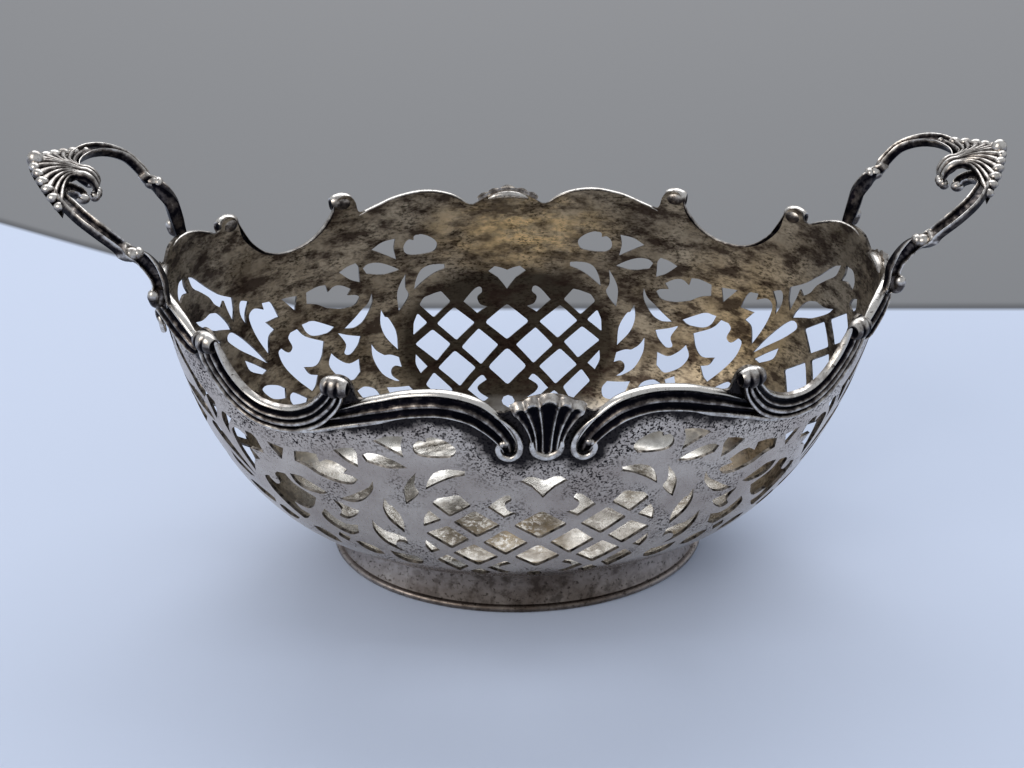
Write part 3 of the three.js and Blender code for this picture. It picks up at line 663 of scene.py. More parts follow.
def insideFinish():
    # the same sheet left unpolished inside: toned brown and grey with dense black specks, a painted shade over the back
    # wall's middle, painted warm reflections in two golden places, and a worn bright floor
    look = sheetInside
    material, add, shader = newMaterial("silverSheetInside")
    place = add("TexCoord", output="Object")
    height = add("SeparateXYZ", {"Vector": place}, output="Z")
    low, high = look["floorTop"]
    aboveFloor = add("MapRange", {"Value": height, "From Min": low * mm, "From Max": high * mm}, clamp=True)
    brushed = add("VectorMath", [place, look["brushing"]], operation="MULTIPLY")

    def paintedLightShadePatch(middle, stretch, begins, full):
        # a soft patch for painted light and painted shade, full near its middle
        away = add("VectorMath", [place, [v * mm for v in middle]], operation="SUBTRACT")
        away = add("VectorMath", [away, stretch], operation="MULTIPLY")
        away = add("VectorMath", [away], output="Value", operation="LENGTH")
        return add("MapRange", {"Value": away, "From Min": begins * mm, "From Max": full * mm}, clamp=True)

    net = tarnish(add, brushed, *look["net"])
    net = add("Math", [net, look["netShare"], look["glowLeast"]], operation="MULTIPLY_ADD")
    # painted warm reflection: the glow over the back wall's upper middle, broken up by the net
    glow = add("Math", [paintedLightShadePatch(*look["glow"]), net], operation="MULTIPLY")
    # painted shade: the trellis patch darkens the middle of the back wall's inside
    trellis = add("Math", [paintedLightShadePatch(*look["trellis"]), look["trellisShare"]], operation="MULTIPLY")
    # painted warm reflection: the golden patch at the right end's inside
    warm = add("Math", [paintedLightShadePatch(*look["warm"]), look["warmShare"]], operation="MULTIPLY")
    stained = add("Math", [glow, -look["stainLessInGlow"], look["stainShare"]], operation="MULTIPLY_ADD")
    stained = add("Math", [tarnish(add, brushed, *look["stains"]), stained], operation="MULTIPLY")
    specks, fields = tarnish(add, brushed, *look["specks"]), tarnish(add, place, *look["speckFields"])
    specks = add("Math", [specks, fields], operation="MULTIPLY")
    dark = add("Math", [specks, look["speckShare"]], operation="MULTIPLY")
    tone = add("Mix", {0: tarnish(add, place, *look["cloud"]), 6: look["bare"], 7: look["toned"]}, **colourMix)
    layers = ((trellis, "trellisTone"), (glow, "glowTone"), (warm, "warmTone"), (stained, "stain"), (dark, "black"))
    for share, colour in layers:
        tone = add("Mix", {0: share, 6: tone, 7: look[colour]}, **colourMix)
    wear = tarnish(add, place, *look["floorWear"])
    floorTone = add("Mix", {0: wear, 6: look["floorBright"], 7: look["floorWorn"]}, **colourMix)
    rough = add("Math", [aboveFloor, look["wallRoughness"], look["floorRoughness"]], operation="MULTIPLY_ADD")
    hammered = add("Math", [tarnish(add, place, *look["dents"]), aboveFloor], operation="MULTIPLY")
    setInputs(shader, {
        "Base Color": add("Mix", {0: aboveFloor, 6: floorTone, 7: tone}, **colourMix),
        "Roughness": add("Math", [dark, look["tarnishRoughness"], rough], operation="MULTIPLY_ADD"),
        "Normal": dents(add, place, look, hammered),
    })
    return material


def sawnFinish():
    # the sawn edges of the openings keep a dull grey-black line
    look = sawnEdge
    material, add, shader = newMaterial("silverSawnEdge")
    grime = tarnish(add, add("TexCoord", output="Object"), *look["grime"])
    setInputs(shader, {
        "Base Color": add("Mix", {0: grime, 6: look["clean"], 7: look["grimy"]}, **colourMix),
        "Roughness": add("Math", [grime, look["grimeRoughness"], look["roughness"]], operation="MULTIPLY_ADD"),
    })
    return material


# cast sterling silver: the tones run from a rubbed reed to the bottom of a recess
castLook = {
    "tones": [(0.0, "#e2ddd6"), (0.25, "#aaa39c"), (0.5, "#57504c"), (0.8, "#17151a"), (1.0, "#0a0a10")],
    "breakup": (1.7, 0.32, 0.68), "breakupMiddle": 0.38, "breakupShare": 0.48, "specks": (0.7, 0.6, 0.7), "speckShare": 0.6,
    "brightRoughness": 0.24, "blackRoughness": 0.5,
}


def castFinish():
    # chased and blackened: the raised reeds are rubbed bright and the recesses stay near black
    look = castLook
    material, add, shader = newMaterial("castSilver")
    place = add("TexCoord", output="Object")
    patina = add("Attribute", output="Fac", attribute_name="patina")
    breakup = add("Math", [tarnish(add, place, *look["breakup"]), look["breakupMiddle"]], operation="SUBTRACT")
    tone = add("Math", [breakup, look["breakupShare"], patina], operation="MULTIPLY_ADD")
    specks = add("Math", [tarnish(add, place, *look["specks"]), look["speckShare"]], operation="MULTIPLY")
    tone = add("Math", [tone, specks], operation="MAXIMUM")
    setInputs(shader, {
        "Base Color": add("ValToRGB", {"Fac": tone}, stops=look["tones"]),
        "Roughness": add("MapRange", {
            "Value": tone, "To Min": look["brightRoughness"], "To Max": look["blackRoughness"]}, clamp=True),
    })
    return material


footLook = {
    "middle": ("#857b73", "#5b5048"), "aside": ("#bdb5b0", "#958c87"), "asideFrom": 14, "asideTo": 36, "black": "#2b2420",
    "cloud": (9, 0.35, 0.65), "specks": (0.9, 0.55, 0.66), "speckShare": 0.8,
    "blotches": (3, 0.48, 0.62), "blotchShare": 0.6, "blotchLessAside": 0.45,
    "roughness": 0.3, "tarnishRoughness": 0.3, "dents": (3, 0.2, 0.8, 6), "dentShare": 0.15, "dentDepth": 0.2,
}


def footFinish():
    # the foot's silver band has dulled to a warm grey-brown with pits and specks, and is drawn lighter towards its
    # ends, a painted reflection of the floor
    look = footLook
    material, add, shader = newMaterial("dulledSilverFoot")
    place = add("TexCoord", output="Object")
    cloud = tarnish(add, place, *look["cloud"])
    across = add("SeparateXYZ", {"Vector": place}, output="X")
    across = add("Math", [across], operation="ABSOLUTE")
    # painted reflection: the band is drawn lighter towards its ends
    aside = add("MapRange", {"Value": across, "From Min": look["asideFrom"] * mm, "From Max": look["asideTo"] * mm}, clamp=True)
    middleTone, asideTone = (
        add("Mix", {0: cloud, 6: first, 7: second}, **colourMix) for first, second in (look["middle"], look["aside"]))
    base = add("Mix", {0: aside, 6: middleTone, 7: asideTone}, **colourMix)
    blotchShare = add("Math", [aside, -look["blotchLessAside"], look["blotchShare"]], operation="MULTIPLY_ADD")
    blotches = add("Math", [tarnish(add, place, *look["blotches"]), blotchShare], operation="MULTIPLY")
    specks = add("Math", [tarnish(add, place, *look["specks"]), look["speckShare"]], operation="MULTIPLY")
    dark = add("Math", [blotches, specks], operation="MAXIMUM")
    setInputs(shader, {
        "Base Color": add("Mix", {0: dark, 6: base, 7: look["black"]}, **colourMix),
        "Roughness": add("Math", [dark, look["tarnishRoughness"], look["roughness"]], operation="MULTIPLY_ADD"),
        "Normal": dents(add, place, look),
    })
    return material


piercedBowl = makeBowl()
easeNormals(piercedBowl)
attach(piercedBowl, "root")
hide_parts("bowl")
print("bowl pierced:", len(piercedBowl.data.polygons), "faces")

castSilver = castFinish()
footSilver = footFinish()


def finishPiece(piece, nodeName, material):
    piece.data.materials.append(material)
    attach(piece, "root")
    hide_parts(nodeName)


# foot: a flared band, and the wire that it stands on
foot = {
    "halfLength": 41.6, "halfWidth": 29.0, "neckLength": 39.2, "neckWidth": 26.8, "neckHeight": 8.9, "flare": 1.6,
    "sheet": 1.0, "wire": 1.6, "wireWidth": 2.2, "wireInset": 1.1, "overlap": 0.2,
}


def ovalRing(name, profile, steps=144):
    # the profile's points are height, half length, half width
    rings, tones = [], []
    for i in range(steps):
        t = 2 * math.pi * i / steps
        rings.append([Vector((p[1] * math.cos(t), p[2] * math.sin(t), p[0])) for p in profile])
        tones.append([0.0] * len(profile))
    return wrapGrid(name, rings, tones, ends=False)


band = []
for i in range(9):
    t = i / 8
    flare = (1 - t) ** foot["flare"]
    height = lerp(foot["wire"] - foot["overlap"], foot["neckHeight"], t)
    halfLength = lerp(foot["neckLength"], foot["halfLength"], flare)
    band.append((height, halfLength, lerp(foot["neckWidth"], foot["halfWidth"], flare)))
for i in range(8, -1, -2):
    height, halfLength, halfWidth = band[i]
    band.append((height, halfLength - foot["sheet"], halfWidth - foot["sheet"]))
footBand = ovalRing("footBand", band)
finishPiece(footBand, "foot_ring", footSilver)
wire = []
for i in range(9):
    t = math.pi * (i / 8 - 0.5)
    out = foot["wireWidth"] / 2 * (0.3 + 0.7 * math.cos(t))
    wire.append((foot["wire"] / 2 * (1 + math.sin(t)), foot["halfLength"] + out, foot["halfWidth"] + out))
for height in (foot["wire"], 0.0):
    wire.append((height, foot["halfLength"] - foot["wireInset"], foot["halfWidth"] - foot["wireInset"]))
footWire = ovalRing("footWire", wire)
finishPiece(footWire, "foot_base_wire", footSilver)
print("foot made")

# one cast bead, copied wherever one is needed, with painted shade: blacker on its underside
bead = {"segments": 18, "rings": 12, "tone": 0.28, "under": 0.6}
deselect()
bpy.ops.mesh.primitive_uv_sphere_add(segments=bead["segments"], ring_count=bead["rings"], radius=1)
beadShape = bpy.context.active_object
beadShape.name = "castBead"
# painted shade: the tone grows towards the bead's underside
shades = [clamp(bead["tone"] - bead["under"] * v.co.z) for v in beadShape.data.vertices]
beadShape.data.attributes.new("patina", "FLOAT", "POINT").data.foreach_set("value", shades)
bpy.ops.object.shade_smooth()


def makeBead(place, size, turn=0.0):
    copy = bpy.data.objects.new("castBead", beadShape.data.copy())
    bpy.context.collection.objects.link(copy)
    stretch = Matrix.Diagonal((size[0] * mm, size[1] * mm, size[2] * mm, 1))
    copy.data.transform(Matrix.Translation(place * mm) @ Matrix.Rotation(turn, 4, "Z") @ stretch)
    return copy


def makeWire(points, radii, tone=0.05, sides=10):
    # a thin round reed through the points
    rings, tones = [], []
    last = len(points) - 1
    side = None
    for i, point in enumerate(points):
        along = (points[min(i + 1, last)] - points[max(i - 1, 0)]).normalized()
        side = along.orthogonal() if side is None else side
        side = (side - along * side.dot(along)).normalized()
        other = along.cross(side)
        turns = [2 * math.pi * k / sides for k in range(sides)]
        rings.append([point + (side * math.cos(t) + other * math.sin(t)) * radii[i] for t in turns])
        tones.append([tone] * sides)
    return wrapGrid("castWire", rings, tones, endTone=tone)


def joinPieces(piece, others, angle=None):
    deselect()
    for other in others + [piece]:
        other.select_set(True)
    bpy.context.view_layer.objects.active = piece
    bpy.ops.object.join()
    if angle:
        bpy.ops.object.shade_smooth_by_angle(angle=angle)
    return piece


# sections of the reeded mouldings: across the band, outward, and how black the recess is; the rim lip's negative values
# brighten it, rubbed wear with a painted highlight on it
archReeds = [
    (-0.36, -0.1, 1), (-0.36, 0.5, 1), (-0.355, 0.9, 0.6), (-0.33, 1.0, 0.05), (-0.3, 0.98, 0.1), (-0.275, 0.82, 0.7),
    (-0.23, 0.62, 1), (-0.15, 0.5, 1), (-0.09, 0.5, 0.95),
    (-0.06, 0.6, 0.6), (-0.02, 0.76, 0.38), (0.04, 0.82, 0.34), (0.1, 0.76, 0.42), (0.14, 0.6, 0.65), (0.18, 0.38, 1),
    (0.27, 0.3, 0.8), (0.34, 0.32, 0.7), (0.385, 0.42, 0.2),
    (0.43, 0.5, -0.15), (0.47, 0.46, -0.2), (0.51, 0.3, -0.2), (0.53, 0.05, -0.2), (0.53, -0.2, -0.15), (0.51, -0.38, 0.1),
    (0.48, -0.42, 0.3), (0.45, -0.1, 0.6),
]
swoopReeds = [
    (-0.38, -0.1, 1), (-0.38, 0.6, 0.9), (-0.375, 0.9, 0.4), (-0.34, 1.0, 0.1), (-0.28, 0.98, 0.15), (-0.24, 0.84, 0.4),
    (-0.21, 0.56, 1), (-0.17, 0.54, 1), (-0.14, 0.76, 0.5),
    (-0.1, 0.86, 0.2), (-0.03, 0.86, 0.2), (0.01, 0.74, 0.5), (0.04, 0.46, 1), (0.08, 0.42, 1), (0.12, 0.6, 0.5),
    (0.16, 0.68, 0.2), (0.2, 0.64, 0.25), (0.24, 0.46, 0.8),
    (0.28, 0.26, 1), (0.36, 0.24, 0.9), (0.41, 0.32, 0.5), (0.45, 0.36, 0.05), (0.5, 0.28, -0.1), (0.53, 0.0, 0.05),
    (0.52, -0.38, 0.25), (0.48, -0.42, 0.6), (0.45, -0.1, 0.8),
]


# the fluted rolls: two grooves each, given as shares of half the roll's length
castRoll = {
    "out": 1.15, "groove": 0.38, "grooveMiddle": 0.06, "grooveWidth": 0.12, "grooveDepth": 0.2,
    "barrel": 0.62, "flat": 0.88, "capAt": 0.84, "cap": 0.42,
}


def makeRoll(across, upward, steps=29, sides=24):
    # the fluted roll that closes a moulding, lying along the rim
    normal = wallNormal(across, upward)
    along = (barePoint(across + 0.5, upward) - barePoint(across - 0.5, upward)).normalized()
    rise = normal.cross(along)
    rise = rise if rise.z > 0 else -rise
    centre = wallPoint(across, upward, moulding["seat"] + castRoll["out"])
    slices = [(2 * k / (steps - 1) - 1, 1) for k in range(steps)]
    rings, tones = [], []
    for b, share in [(-castRoll["capAt"], castRoll["cap"])] + slices + [(castRoll["capAt"], castRoll["cap"])]:
        groove = math.exp(-((abs(b - castRoll["grooveMiddle"]) - castRoll["groove"]) / castRoll["grooveWidth"]) ** 2)
        ring, ringTone = [], []
        for k in range(sides):
            t = 2 * math.pi * k / sides
            cutIn = groove * clamp(1.12 - math.sin(t)) * clamp(0.6 + math.cos(t))
            radius = moulding["rollRadius"] * share * math.sqrt(1 - castRoll["barrel"] * b ** 2)
            radius *= 1 - castRoll["grooveDepth"] * cutIn
            out = normal * math.cos(t) * castRoll["flat"] + rise * math.sin(t)
            ring.append(centre + along * (b * moulding["rollLength"] / 2) + out * radius)
            # painted shade: the roll's underside is drawn darker, added to the black in its grooves
            under = clamp(0.9 - 1.1 * math.sin(t))
            ringTone.append(1 if share < 1 else clamp(0.95 * cutIn + 0.55 * under))
        rings.append(ring)
        tones.append(ringTone)
    return wrapGrid("castRoll", rings, tones, endTone=1)


def sheetLine(points, start, side, out):
    # a smooth run over the wall: out gives its height above the wall for a share of its length
    line = spline(points, False, 5)
    size = len(line) - 1
    return [wallPoint(start * sheetAcross + side * x, y, moulding["seat"] + out(k / size)) for k, (x, y) in enumerate(line)]


def makeHook(hook, start, side):
    # the wire that curls round beside a shell, with a bead at its tip
    points = sheetLine(hook, start, side, lambda share: lerp(0.75, 1.15, clamp(share * 2.2)))
    size = len(points) - 1
    radii = [moulding["hookWire"] * clamp(0.3 + k / size * 1.7, 0.3, 1) * (1 if k < size - 4 else 1.1) for k in range(size + 1)]
    return [makeWire(points, radii), makeBead(points[-1], (0.8, 0.8, 0.8))]


def makeTail(tail, start, side):
    # the wire that carries an arch's lower lip on under the dipping moulding
    points = sheetLine(tail, start, side, lambda share: 1.5)
    size = len(points) - 1
    return [makeWire(points, [lerp(0.3, 0.5, clamp(2.4 * math.sin(math.pi * k / size))) for k in range(size + 1)], 0.12)]


def makeMoulding(name, cast, start, side):
    path = spline(cast["path"], False, 5)
    path = [(start * sheetAcross + side * station[0],) + station[1:] for station in path]
    last = len(path) - 1
    rings, tones = [], []
    for i, (across, upward, width, thick, lip) in enumerate(path):
        ahead, behind = path[min(i + 1, last)], path[max(i - 1, 0)]
        tangent = (barePoint(*ahead[:2]) - barePoint(*behind[:2])).normalized()
        normal = wallNormal(across, upward)
        rise = normal.cross(tangent) * (side * cast["hand"])
        ease = (0.78, 0.93, 1.0)[min(i, last - i, 2)]
        centre = wallPoint(across, upward, moulding["seat"])
        ring = []
        for b, n, tone in cast["reeds"]:
            out = n * (thick * ease if n > 0 else lip) * moulding["thickness"]
            ring.append(centre + rise * (b * width * ease * moulding["width"]) + normal * out)
        rings.append(ring)
        tones.append([tone for b, n, tone in cast["reeds"]])
    piece = wrapGrid(name, rings, tones)
    extras = [makeRoll(start * sheetAcross + side * x, y) for x, y in cast.get("rolls", [])]
    if "hook" in cast:
        extras += makeHook(cast["hook"], start, side)
    if "tail" in cast:
        extras += makeTail(cast["tail"], start, side)
    return joinPieces(piece, extras, smoothAngle)


castings = {
    "arch": {"path": archPath, "reeds": archReeds, "hook": archHook, "hand": 1},
    "swoop": {"path": swoopPath, "reeds": swoopReeds, "tail": swoopTail, "rolls": swoopRolls, "hand": -1},
    "end": {"path": endPath, "reeds": archReeds, "hook": endHook, "hand": -1},
}
for sideName in ("back", "front"):
    for endName, end in (("left", -1), ("right", 1)):
        start, side = (0, end) if sideName == "back" else (2 * end, -end)
        for kind, cast in castings.items():
            piece = makeMoulding(sideName + endName.capitalize() + kind.capitalize() + "Scroll", cast, start, side)
            finishPiece(piece, f"{sideName}_{endName}_{kind}_scroll", castSilver)
print("mouldings made")


# what both kinds of shell share: the grid, the droop of the sides, the lobed crown, the lip and the fold behind
fluting = {
    "columns": 60, "rows": 44, "spread": 2.1, "droop": 1.9, "droopPower": 1.8, "ridgeWidth": 0.28, "lobeWidth": 0.56,
    "brow": 0.865, "browLift": 0.05, "crownWidth": 0.07, "crown": 0.5, "crownLobe": 0.8, "lobeRise": 1.2,
    "front": 0.35, "behind": 0.2, "backSink": -0.15,
    "lip": [(-1, 3.4), (-0.98, 2), (-0.72, 0.6), (0, -0.3), (0.72, 0.6), (0.98, 2), (1, 3.4)],
    "lipOut": 1.15, "lipRadius": (0.35, 0.86),
    "fold": [(-4.4, 0.2), (-3.4, 0.65), (-2.2, 0.85), (-1.1, 0.95), (0, 1.0),
             (1.1, 0.95), (2.2, 0.85), (3.4, 0.65), (4.4, 0.2)],
    "foldDrop": 0.9, "foldCurve": 0.05, "foldSink": -0.35,
}


def makeShell(name, size, middle):
    columns, rows = fluting["columns"], fluting["rows"]
    sheetPerMm = sheetAcross / arcTable[-1]
    rings, tones = [], []
    for i in range(rows + 1):
        u = i / rows
        spread = clamp((u - 0.12) / 0.88) ** fluting["spread"]
        width = lerp(size["footWidth"], size["halfWidth"], spread) * math.sqrt(clamp(u / 0.1, 0.03, 1))
        level = lerp(size["bottom"], size["top"], u)
        close = clamp((1 - u) / 0.05, 0.2, 1)
        ring, tone = [], []
        for j in range(columns + 1):
            c = 2 * j / columns - 1
            k = 0
            while k < len(flutes) - 2 and c > flutes[k + 1]:
                k += 1
            flute = flutes[k + 1] - flutes[k]
            frac = clamp((c - flutes[k]) / flute)
            ridge = math.exp(-(min(frac, 1 - frac) * flute * width / fluting["ridgeWidth"]) ** 2)
            lobe = math.sin(math.pi * frac) ** 0.6 if 0 < frac < 1 else 0
            tall = flute / fluting["lobeWidth"]
            # each flute ends in an arch, and a lobe of the crown stands over it
            brow = fluting["brow"] + fluting["browLift"] * lobe * tall
            crown = clamp(1 - abs(u - brow - fluting["browLift"]) / fluting["crownWidth"])
            drop = fluting["droop"] * (abs(c) ** fluting["droopPower"]) * u
            upward = level + fluting["lobeRise"] * lobe * tall * u ** 6 - drop
            body = size["body"] * (1 - 0.2 * c * c) + size["ridge"] * ridge * clamp(u * 6) * clamp((1 - u) * 9)
            out = (body + (fluting["crown"] + fluting["crownLobe"] * lobe * tall) * crown) * close
            ring.append(wallPoint(middle * sheetAcross + c * width * sheetPerMm, upward, fluting["front"] + out))
            shade = lerp(1 - 0.95 * ridge, 0.0, clamp((u - brow) / 0.015) * clamp(lobe * 2.2 - 0.7))
            tone.append((shade if u < 0.975 else 0.1) if abs(c) < 0.97 or u < 0.15 else 0.2)
        for j in range(9):
            c = 1 - j / 4
            upward = level - fluting["droop"] * (abs(c) ** fluting["droopPower"]) * u + 0.8 * u ** 6 * (1 - c * c)
            sink = lerp(fluting["behind"], fluting["backSink"], clamp((u - 0.9) * 20))
            ring.append(wallPoint(middle * sheetAcross + c * width * sheetPerMm, upward, sink))
            tone.append(0.15)
        rings.append(ring)
        tones.append(tone)
    piece = wrapGrid(name, rings, tones, endTone=0.1)
    # the bright lip that its flutes run down to
    line = spline([(x * size["lipWidth"], y) for x, y in fluting["lip"]], False, 5)
    points = [wallPoint(middle * sheetAcross + x * sheetPerMm, size["bottom"] + y, fluting["lipOut"]) for x, y in line]
    radii = [lerp(*fluting["lipRadius"], math.sin(math.pi * k / (len(points) - 1)) ** 0.8) for k in range(len(points))]
    # its crown rolls over the rim to the inside
    fold = []
    for x, radius in fluting["fold"]:
        level = size["top"] - fluting["foldDrop"] - fluting["foldCurve"] * x * x
        fold.append(wallPoint(middle * sheetAcross + x * sheetPerMm, level, fluting["foldSink"]))
    wires = [makeWire(points, radii), makeWire(fold, [radius for x, radius in fluting["fold"]])]
    return joinPieces(piece, wires, smoothAngle)


for name, node, size, middle in (
        ("backShell", "back_shell", shell, 0), ("frontShell", "front_shell", shell, 2),
        ("rightEndShell", "right_end_shell", endShell, 1), ("leftEndShell", "left_end_shell", endShell, -1)):
    finishPiece(makeShell(name, size, middle), node, castSilver)
print("rim shells made")

# handles, as shares of their reach past the rim's end, of their half width and of their rise
handle = {
    "halfLength": 99.35, "halfWidth": 20.0, "rise": 25.0, "limbWidth": 3.0, "limbThickness": 2.0,
    "rimEnd": (90, 71.2), "foot": (75.6, 71.6), "footOut": 1.75, "gap": 0.3,
    "low": (0.5, 0.85, 0.2), "high": (-0.55, 0.25, 0.8),  # the way that the channel faces, at the foot and higher up
    "curl": [(0, 0, 1.4), (0.2, 0.1, -0.4), (0.7, 0.4, -1.5), (1.3, 0.7, -1.4), (1.6, 0.85, -0.4)], "curlRadius": (0.95, 1.15),
    "curlBead": ((1.6, 0.85, 0), (1.2, 1.1, 1.5)), "knuckle": (0.105, 0.862, 0.43), "knuckleBead": (1.75, 1.6, 1.5),
    "besideKnuckle": ((-1.4, -0.3, 0.1), (1.0, 1.45, 1.2)), "endBead": ((0, 0, -0.1), (1.35, 1.2, 1.15)),
}
endTop = wallPoint(*handle["rimEnd"])
reach = handle["halfLength"] - endTop.x
limbFoot = wallPoint(*handle["foot"], handle["footOut"])
channel = [
    (-0.46, -0.46, 0.85), (-0.52, 0.1, 0.7), (-0.5, 0.38, 0.15), (-0.46, 0.5, 0), (-0.41, 0.48, 0), (-0.36, 0.32, 0.5),
    (-0.3, 0.1, 0.8), (-0.14, 0.02, 0.68),
    (0, 0.0, 0.62), (0.14, 0.02, 0.68), (0.3, 0.1, 0.8), (0.36, 0.32, 0.5), (0.41, 0.48, 0), (0.46, 0.5, 0),
    (0.5, 0.38, 0.15), (0.52, 0.1, 0.7), (0.46, -0.46, 0.85),
    (0.3, -0.58, 0.7), (0, -0.62, 0.6), (-0.3, -0.58, 0.7),
]
# x, y, z, width, thickness, facing and added black, first from the rim and then from the end of the rim
limbLow = [(-0.02, 0, -0.09, 0.8, 0.8, 0, 0), (0, -0.005, 0.02, 0.9, 0.9, 0, 0), (0.015, -0.03, 0.14, 0.98, 1, 0.1, 0)]
limbHigh = [
    (-0.05, 0.8, 0.275, 1.0, 1, 0.2, 0), (0.012, 0.817, 0.362, 0.98, 1, 0.3, 0), (0.07, 0.845, 0.41, 0.9, 1, 0.4, 0.2),
    (0.13, 0.877, 0.445, 1, 1.1, 0.65, 0),
    (0.165, 0.897, 0.485, 1.1, 1.2, 0.9, -0.4), (0.2, 0.915, 0.53, 0.96, 1, 1, 0),
    (0.324, 0.93, 0.648, 0.98, 1, 1, 0), (0.473, 0.84, 0.735, 0.98, 1, 1, 0), (0.599, 0.675, 0.785, 0.94, 1, 1, 0),
    (0.685, 0.5, 0.79, 0.86, 1, 1, 0),
    (0.705, 0.36, 0.78, 0.84, 1, 1, 0), (0.66, 0.23, 0.757, 0.8, 1, 1, 0), (0.59, 0.18, 0.71, 0.74, 1, 1, 0),
    (0.55, 0.2, 0.67, 0.66, 1, 1, 0),
]


def handlePlace(x, y, z):
    return Vector((endTop.x + x * reach, y * handle["halfWidth"], endTop.z + z * handle["rise"]))


def limbStations():
    # place, then width, thickness, facing and added black, from the foot to the fan
    stations = []
    for x, y, z, *rest in limbLow:
        stations.append((*(limbFoot + Vector((x * reach, y * handle["halfWidth"], handle["gap"] + z * handle["rise"]))), *rest))
    for x, y, z, *rest in limbHigh:
        stations.append((*handlePlace(x, y, z), *rest))
    return stations


def makeLimb(name, end, side):
    def placed(p):
        return Vector((end * p.x, side * p.y, p.z))

    stations = limbStations()
    path = spline(stations, False, 5)
    low, high = Vector(handle["low"]), Vector(handle["high"])
    rings, tones = [], []
    last = len(path) - 1
    for i, (x, y, z, width, thick, facing, black) in enumerate(path):
        ahead, behind = Vector(path[min(i + 1, last)][:3]), Vector(path[max(i - 1, 0)][:3])
        tangent = (ahead - behind).normalized()
        normal = low.lerp(high, clamp(facing))
        normal = (normal - tangent * normal.dot(tangent)).normalized()
        across = tangent.cross(normal)
        ease = (0.6, 0.85, 1.0)[min(i, last - i, 2)]
        collar = clamp(-black * 2)
        ring, tone = [], []
        for b, n, shade in channel:
            # a collar fills the channel and rounds it over, and elsewhere its bed is finely ribbed
            if n > -0.05:
                n = lerp(n, 0.5 * math.sqrt(max(0, 1 - (b / 0.56) ** 2)), collar)
            if abs(b) < 0.3 and n > -0.05 and collar < 0.2 and i % 2:
                n, shade = n + 0.06, shade - 0.14
            sideways = across * (b * width * ease * handle["limbWidth"])
            ring.append(placed(Vector((x, y, z)) + sideways + normal * (n * thick * ease * handle["limbThickness"])))
            tone.append(clamp(lerp(shade, 0, collar) + max(0, black)))
        rings.append(ring)
        tones.append(tone)
    piece = wrapGrid(name, rings, tones, endTone=0.2)
    start, stop = Vector(stations[1][:3]), Vector(stations[-1][:3])
    # the foot curls outward into a ball, and a ball knuckle sits where the limb bends away
    curl = spline(handle["curl"], False, 4)
    radii = [lerp(*handle["curlRadius"], k / (len(curl) - 1)) for k in range(len(curl))]
    extras = [makeWire([placed(start + Vector(c)) for c in curl], radii, 0.5)]
    knuckle = handlePlace(*handle["knuckle"])
    for middle, (offset, size) in ((start, handle["curlBead"]), (knuckle, ((0, 0, 0), handle["knuckleBead"])),
                                   (knuckle, handle["besideKnuckle"]), (stop, handle["endBead"])):
        extras.append(makeBead(placed(middle + Vector(offset)), size))
    return joinPieces(piece, extras)


# the fan: its tongue as x, z and half width, then the edge that its ribs spread to
fan = {
    "ribs": 13, "thickness": 1.2, "rib": 0.75, "beadsAside": 6,
    "tipX": 0.985, "back": 0.37, "halfWidth": 0.78, "tipZ": 0.925, "drop": 0.17, "edgePower": 1.3,
    "bulge": 0.06, "arch": 0.015, "tilt": (-0.35, 0, 0.94),
    "lobe": 0.6, "hollow": 0.4, "split": 0.3, "smooth": math.radians(60),
    "bead": ((1.05, 1.32, 0.95), 0.5, 0.1), "tipBead": ((1.7, 1.5, 1.95), 1.1, 0.3),  # sizes, how far in and how far up
    "tongueBeads": ((-1.35, 0.1), (0, -0.1), (1.35, 0.1)), "tongueBead": (1.1, 0.95, 1.1),
}
tongue = [(0.47, 0.64, 0.09), (0.435, 0.71, 0.12), (0.465, 0.79, 0.13), (0.52, 0.835, 0.13), (0.575, 0.845, 0.125)]


def fanPlace(c, u):
    # c runs across the fan from -1 to 1, and u from its throat to its edge
    throatX, throatZ, throatHalf = tongue[-1]
    size = abs(c)
    x = lerp(throatX, fan["tipX"] - fan["back"] * size ** fan["edgePower"], u ** (1 - 0.2 * size))
    x += fan["bulge"] * size ** 1.2 * math.sin(math.pi * u)
    y = c * lerp(throatHalf, fan["halfWidth"], u ** 1.9)
    z = lerp(throatZ, fan["tipZ"] - fan["drop"] * size ** fan["edgePower"], u) + fan["arch"] * math.sin(math.pi * u)
    return handlePlace(x, y, z)


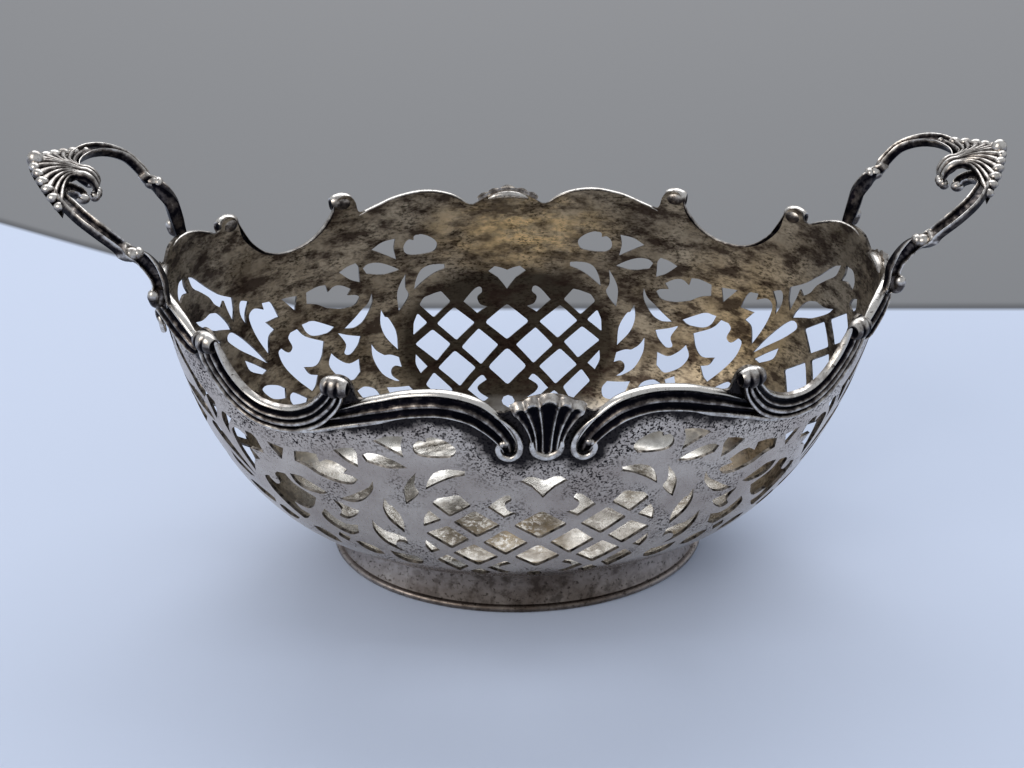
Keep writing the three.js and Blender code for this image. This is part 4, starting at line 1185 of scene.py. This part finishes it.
def makeFan(name, end):
    columns = fan["ribs"] * 6
    tilt = Vector(fan["tilt"])
    rows = [(row, 0.0) for row in spline(tongue, False, 4)] + [(None, k / 18) for k in range(1, 19)]
    rings, tones = [], []
    for row, u in rows:
        ring, tone, under = [], [], []
        for j in range(columns + 1):
            c = 2 * j / columns - 1
            frac = (c + 1) / 2 * fan["ribs"] % 1
            rib = max(0, math.sin(math.pi * frac)) ** 0.7
            lobe = max(0, math.sin(math.pi * ((c + 1) * 1.5 % 1))) ** 0.6
            # the tongue's three lobes split into the ribs a little way up the fan
            lobed, lobedTone = fan["lobe"] * lobe - fan["hollow"] * c * c, 0.95 - 0.95 * lobe
            if row:
                p = handlePlace(row[0], c * row[2], row[1])
                ring.append(p + tilt * lobed)
                tone.append(clamp(lobedTone))
            else:
                p = fanPlace(c, u)
                split = clamp(u / fan["split"])
                ring.append(p + tilt * lerp(lobed, fan["rib"] * rib, split))
                tone.append(clamp(lerp(lobedTone, 0.88 - 0.78 * rib ** 1.5, split)))
            if j % 4 == 0:
                under.insert(0, p - tilt * fan["thickness"])
        rings.append([Vector((end * p.x, p.y, p.z)) for p in ring + under])
        tones.append(tone + [0.5] * len(under))
    piece = wrapGrid(name, rings, tones, endTone=0.5)
    beads = []
    count = fan["beadsAside"]
    for k in range(-count, count + 1):
        c = k / (count + 0.5)
        p = fanPlace(c, 1.0)
        inward = (p - fanPlace(c, 0.9)).normalized()
        size, inset, lift = fan["bead"] if k else fan["tipBead"]
        p -= inward * inset
        beads.append(makeBead(Vector((end * p.x, p.y, p.z + lift)), size, math.atan2(inward.y, end * inward.x)))
    tip = handlePlace(tongue[0][0], 0, tongue[0][1])
    for y, x in fan["tongueBeads"]:
        beads.append(makeBead(Vector((end * (tip.x + x), y, tip.z - 0.1)), fan["tongueBead"]))
    return joinPieces(piece, beads, fan["smooth"])


for endName, end in (("left", -1), ("right", 1)):
    finishPiece(makeLimb(endName + "HandleFrontLimb", end, -1), f"{endName}_handle_front_limb", castSilver)
    finishPiece(makeLimb(endName + "HandleBackLimb", end, 1), f"{endName}_handle_back_limb", castSilver)
    finishPiece(makeFan(endName + "HandleShell", end), f"{endName}_handle_shell", castSilver)
bpy.data.objects.remove(beadShape)
print("handles made")

# floor, backdrop and lamps: the pale table ends at a line behind the basket, a dark painted shadow of the table's edge,
# with a grey backdrop beyond it
studio = {
    "floor": "#ccd7ec", "backdrop": "#7b7c7e", "farBackdrop": "#828283", "edge": "#4c4d50", "roughness": 0.7, "size": 6000,
    "straight": (0.043, 110.4), "slanted": (0.63, 79.2),  # the floor's far edge: slope, and place behind the middle
    "edgeBlur": 2, "depth": 298, "world": "#c3c7cd", "worldStrength": 0.85,
}


def makeStage():
    deselect()
    bpy.ops.mesh.primitive_plane_add(size=studio["size"] * mm)
    plane = bpy.context.active_object
    plane.name = plane.data.name = "studioFloor"
    # a matt paper sweep
    material, add, shader = newMaterial("paperSweep", metallic=0)
    place = add("TexCoord", output="Object")
    x, y = (add("SeparateXYZ", {"Vector": place}, output=axis) for axis in "XY")
    # the far edge runs straight behind the right half and slants away to the left
    edges = []
    for slope, behind in (studio["straight"], studio["slanted"]):
        past = add("Math", [y, behind * mm], operation="SUBTRACT")
        edges.append(add("Math", [x, slope, past], operation="MULTIPLY_ADD"))
    past = add("Math", [edges[0], edges[1]], operation="MINIMUM")
    far = add("MapRange", {"Value": past, "From Min": -studio["edgeBlur"] * mm, "From Max": studio["depth"] * mm}, clamp=True)
    # the edge stop is a painted shadow along the table's back edge
    tones = [(0.0, studio["floor"]), (0.008, studio["edge"]), (0.02, studio["backdrop"]), (1.0, studio["farBackdrop"])]
    setInputs(shader, {"Base Color": add("ValToRGB", {"Fac": far}, stops=tones), "Roughness": studio["roughness"]})
    plane.data.materials.append(material)


makeStage()

world = bpy.data.worlds.new("softStudio")
bpy.context.scene.world = world
world.use_nodes = True
setInputs(world.node_tree.nodes["Background"], {"Color": studio["world"], "Strength": studio["worldStrength"]})


def softLamp(name, place, target, size, power, colour="#ffffff"):
    data = bpy.data.lights.new(name, "AREA")
    data.shape = "RECTANGLE"
    data.size, data.size_y = size
    data.energy = power
    data.color = hexColour(colour)[:3]
    lamp = bpy.data.objects.new(name, data)
    bpy.context.collection.objects.link(lamp)
    lamp.location = place
    lamp.rotation_euler = (Vector(target) - Vector(place)).to_track_quat("-Z", "Y").to_euler()


# each lamp's place and size in metres, and its power in watts
lampTarget = (0, 0, 0.04)
softLamp("windowLight", (0.1, 0.82, 0.98), lampTarget, (1.6, 1.0), 10.6, "#f6f8fc")
softLamp("frontFill", (-0.85, -0.75, 0.85), lampTarget, (0.8, 0.8), 5.5, "#fff9f2")
print("studio set")
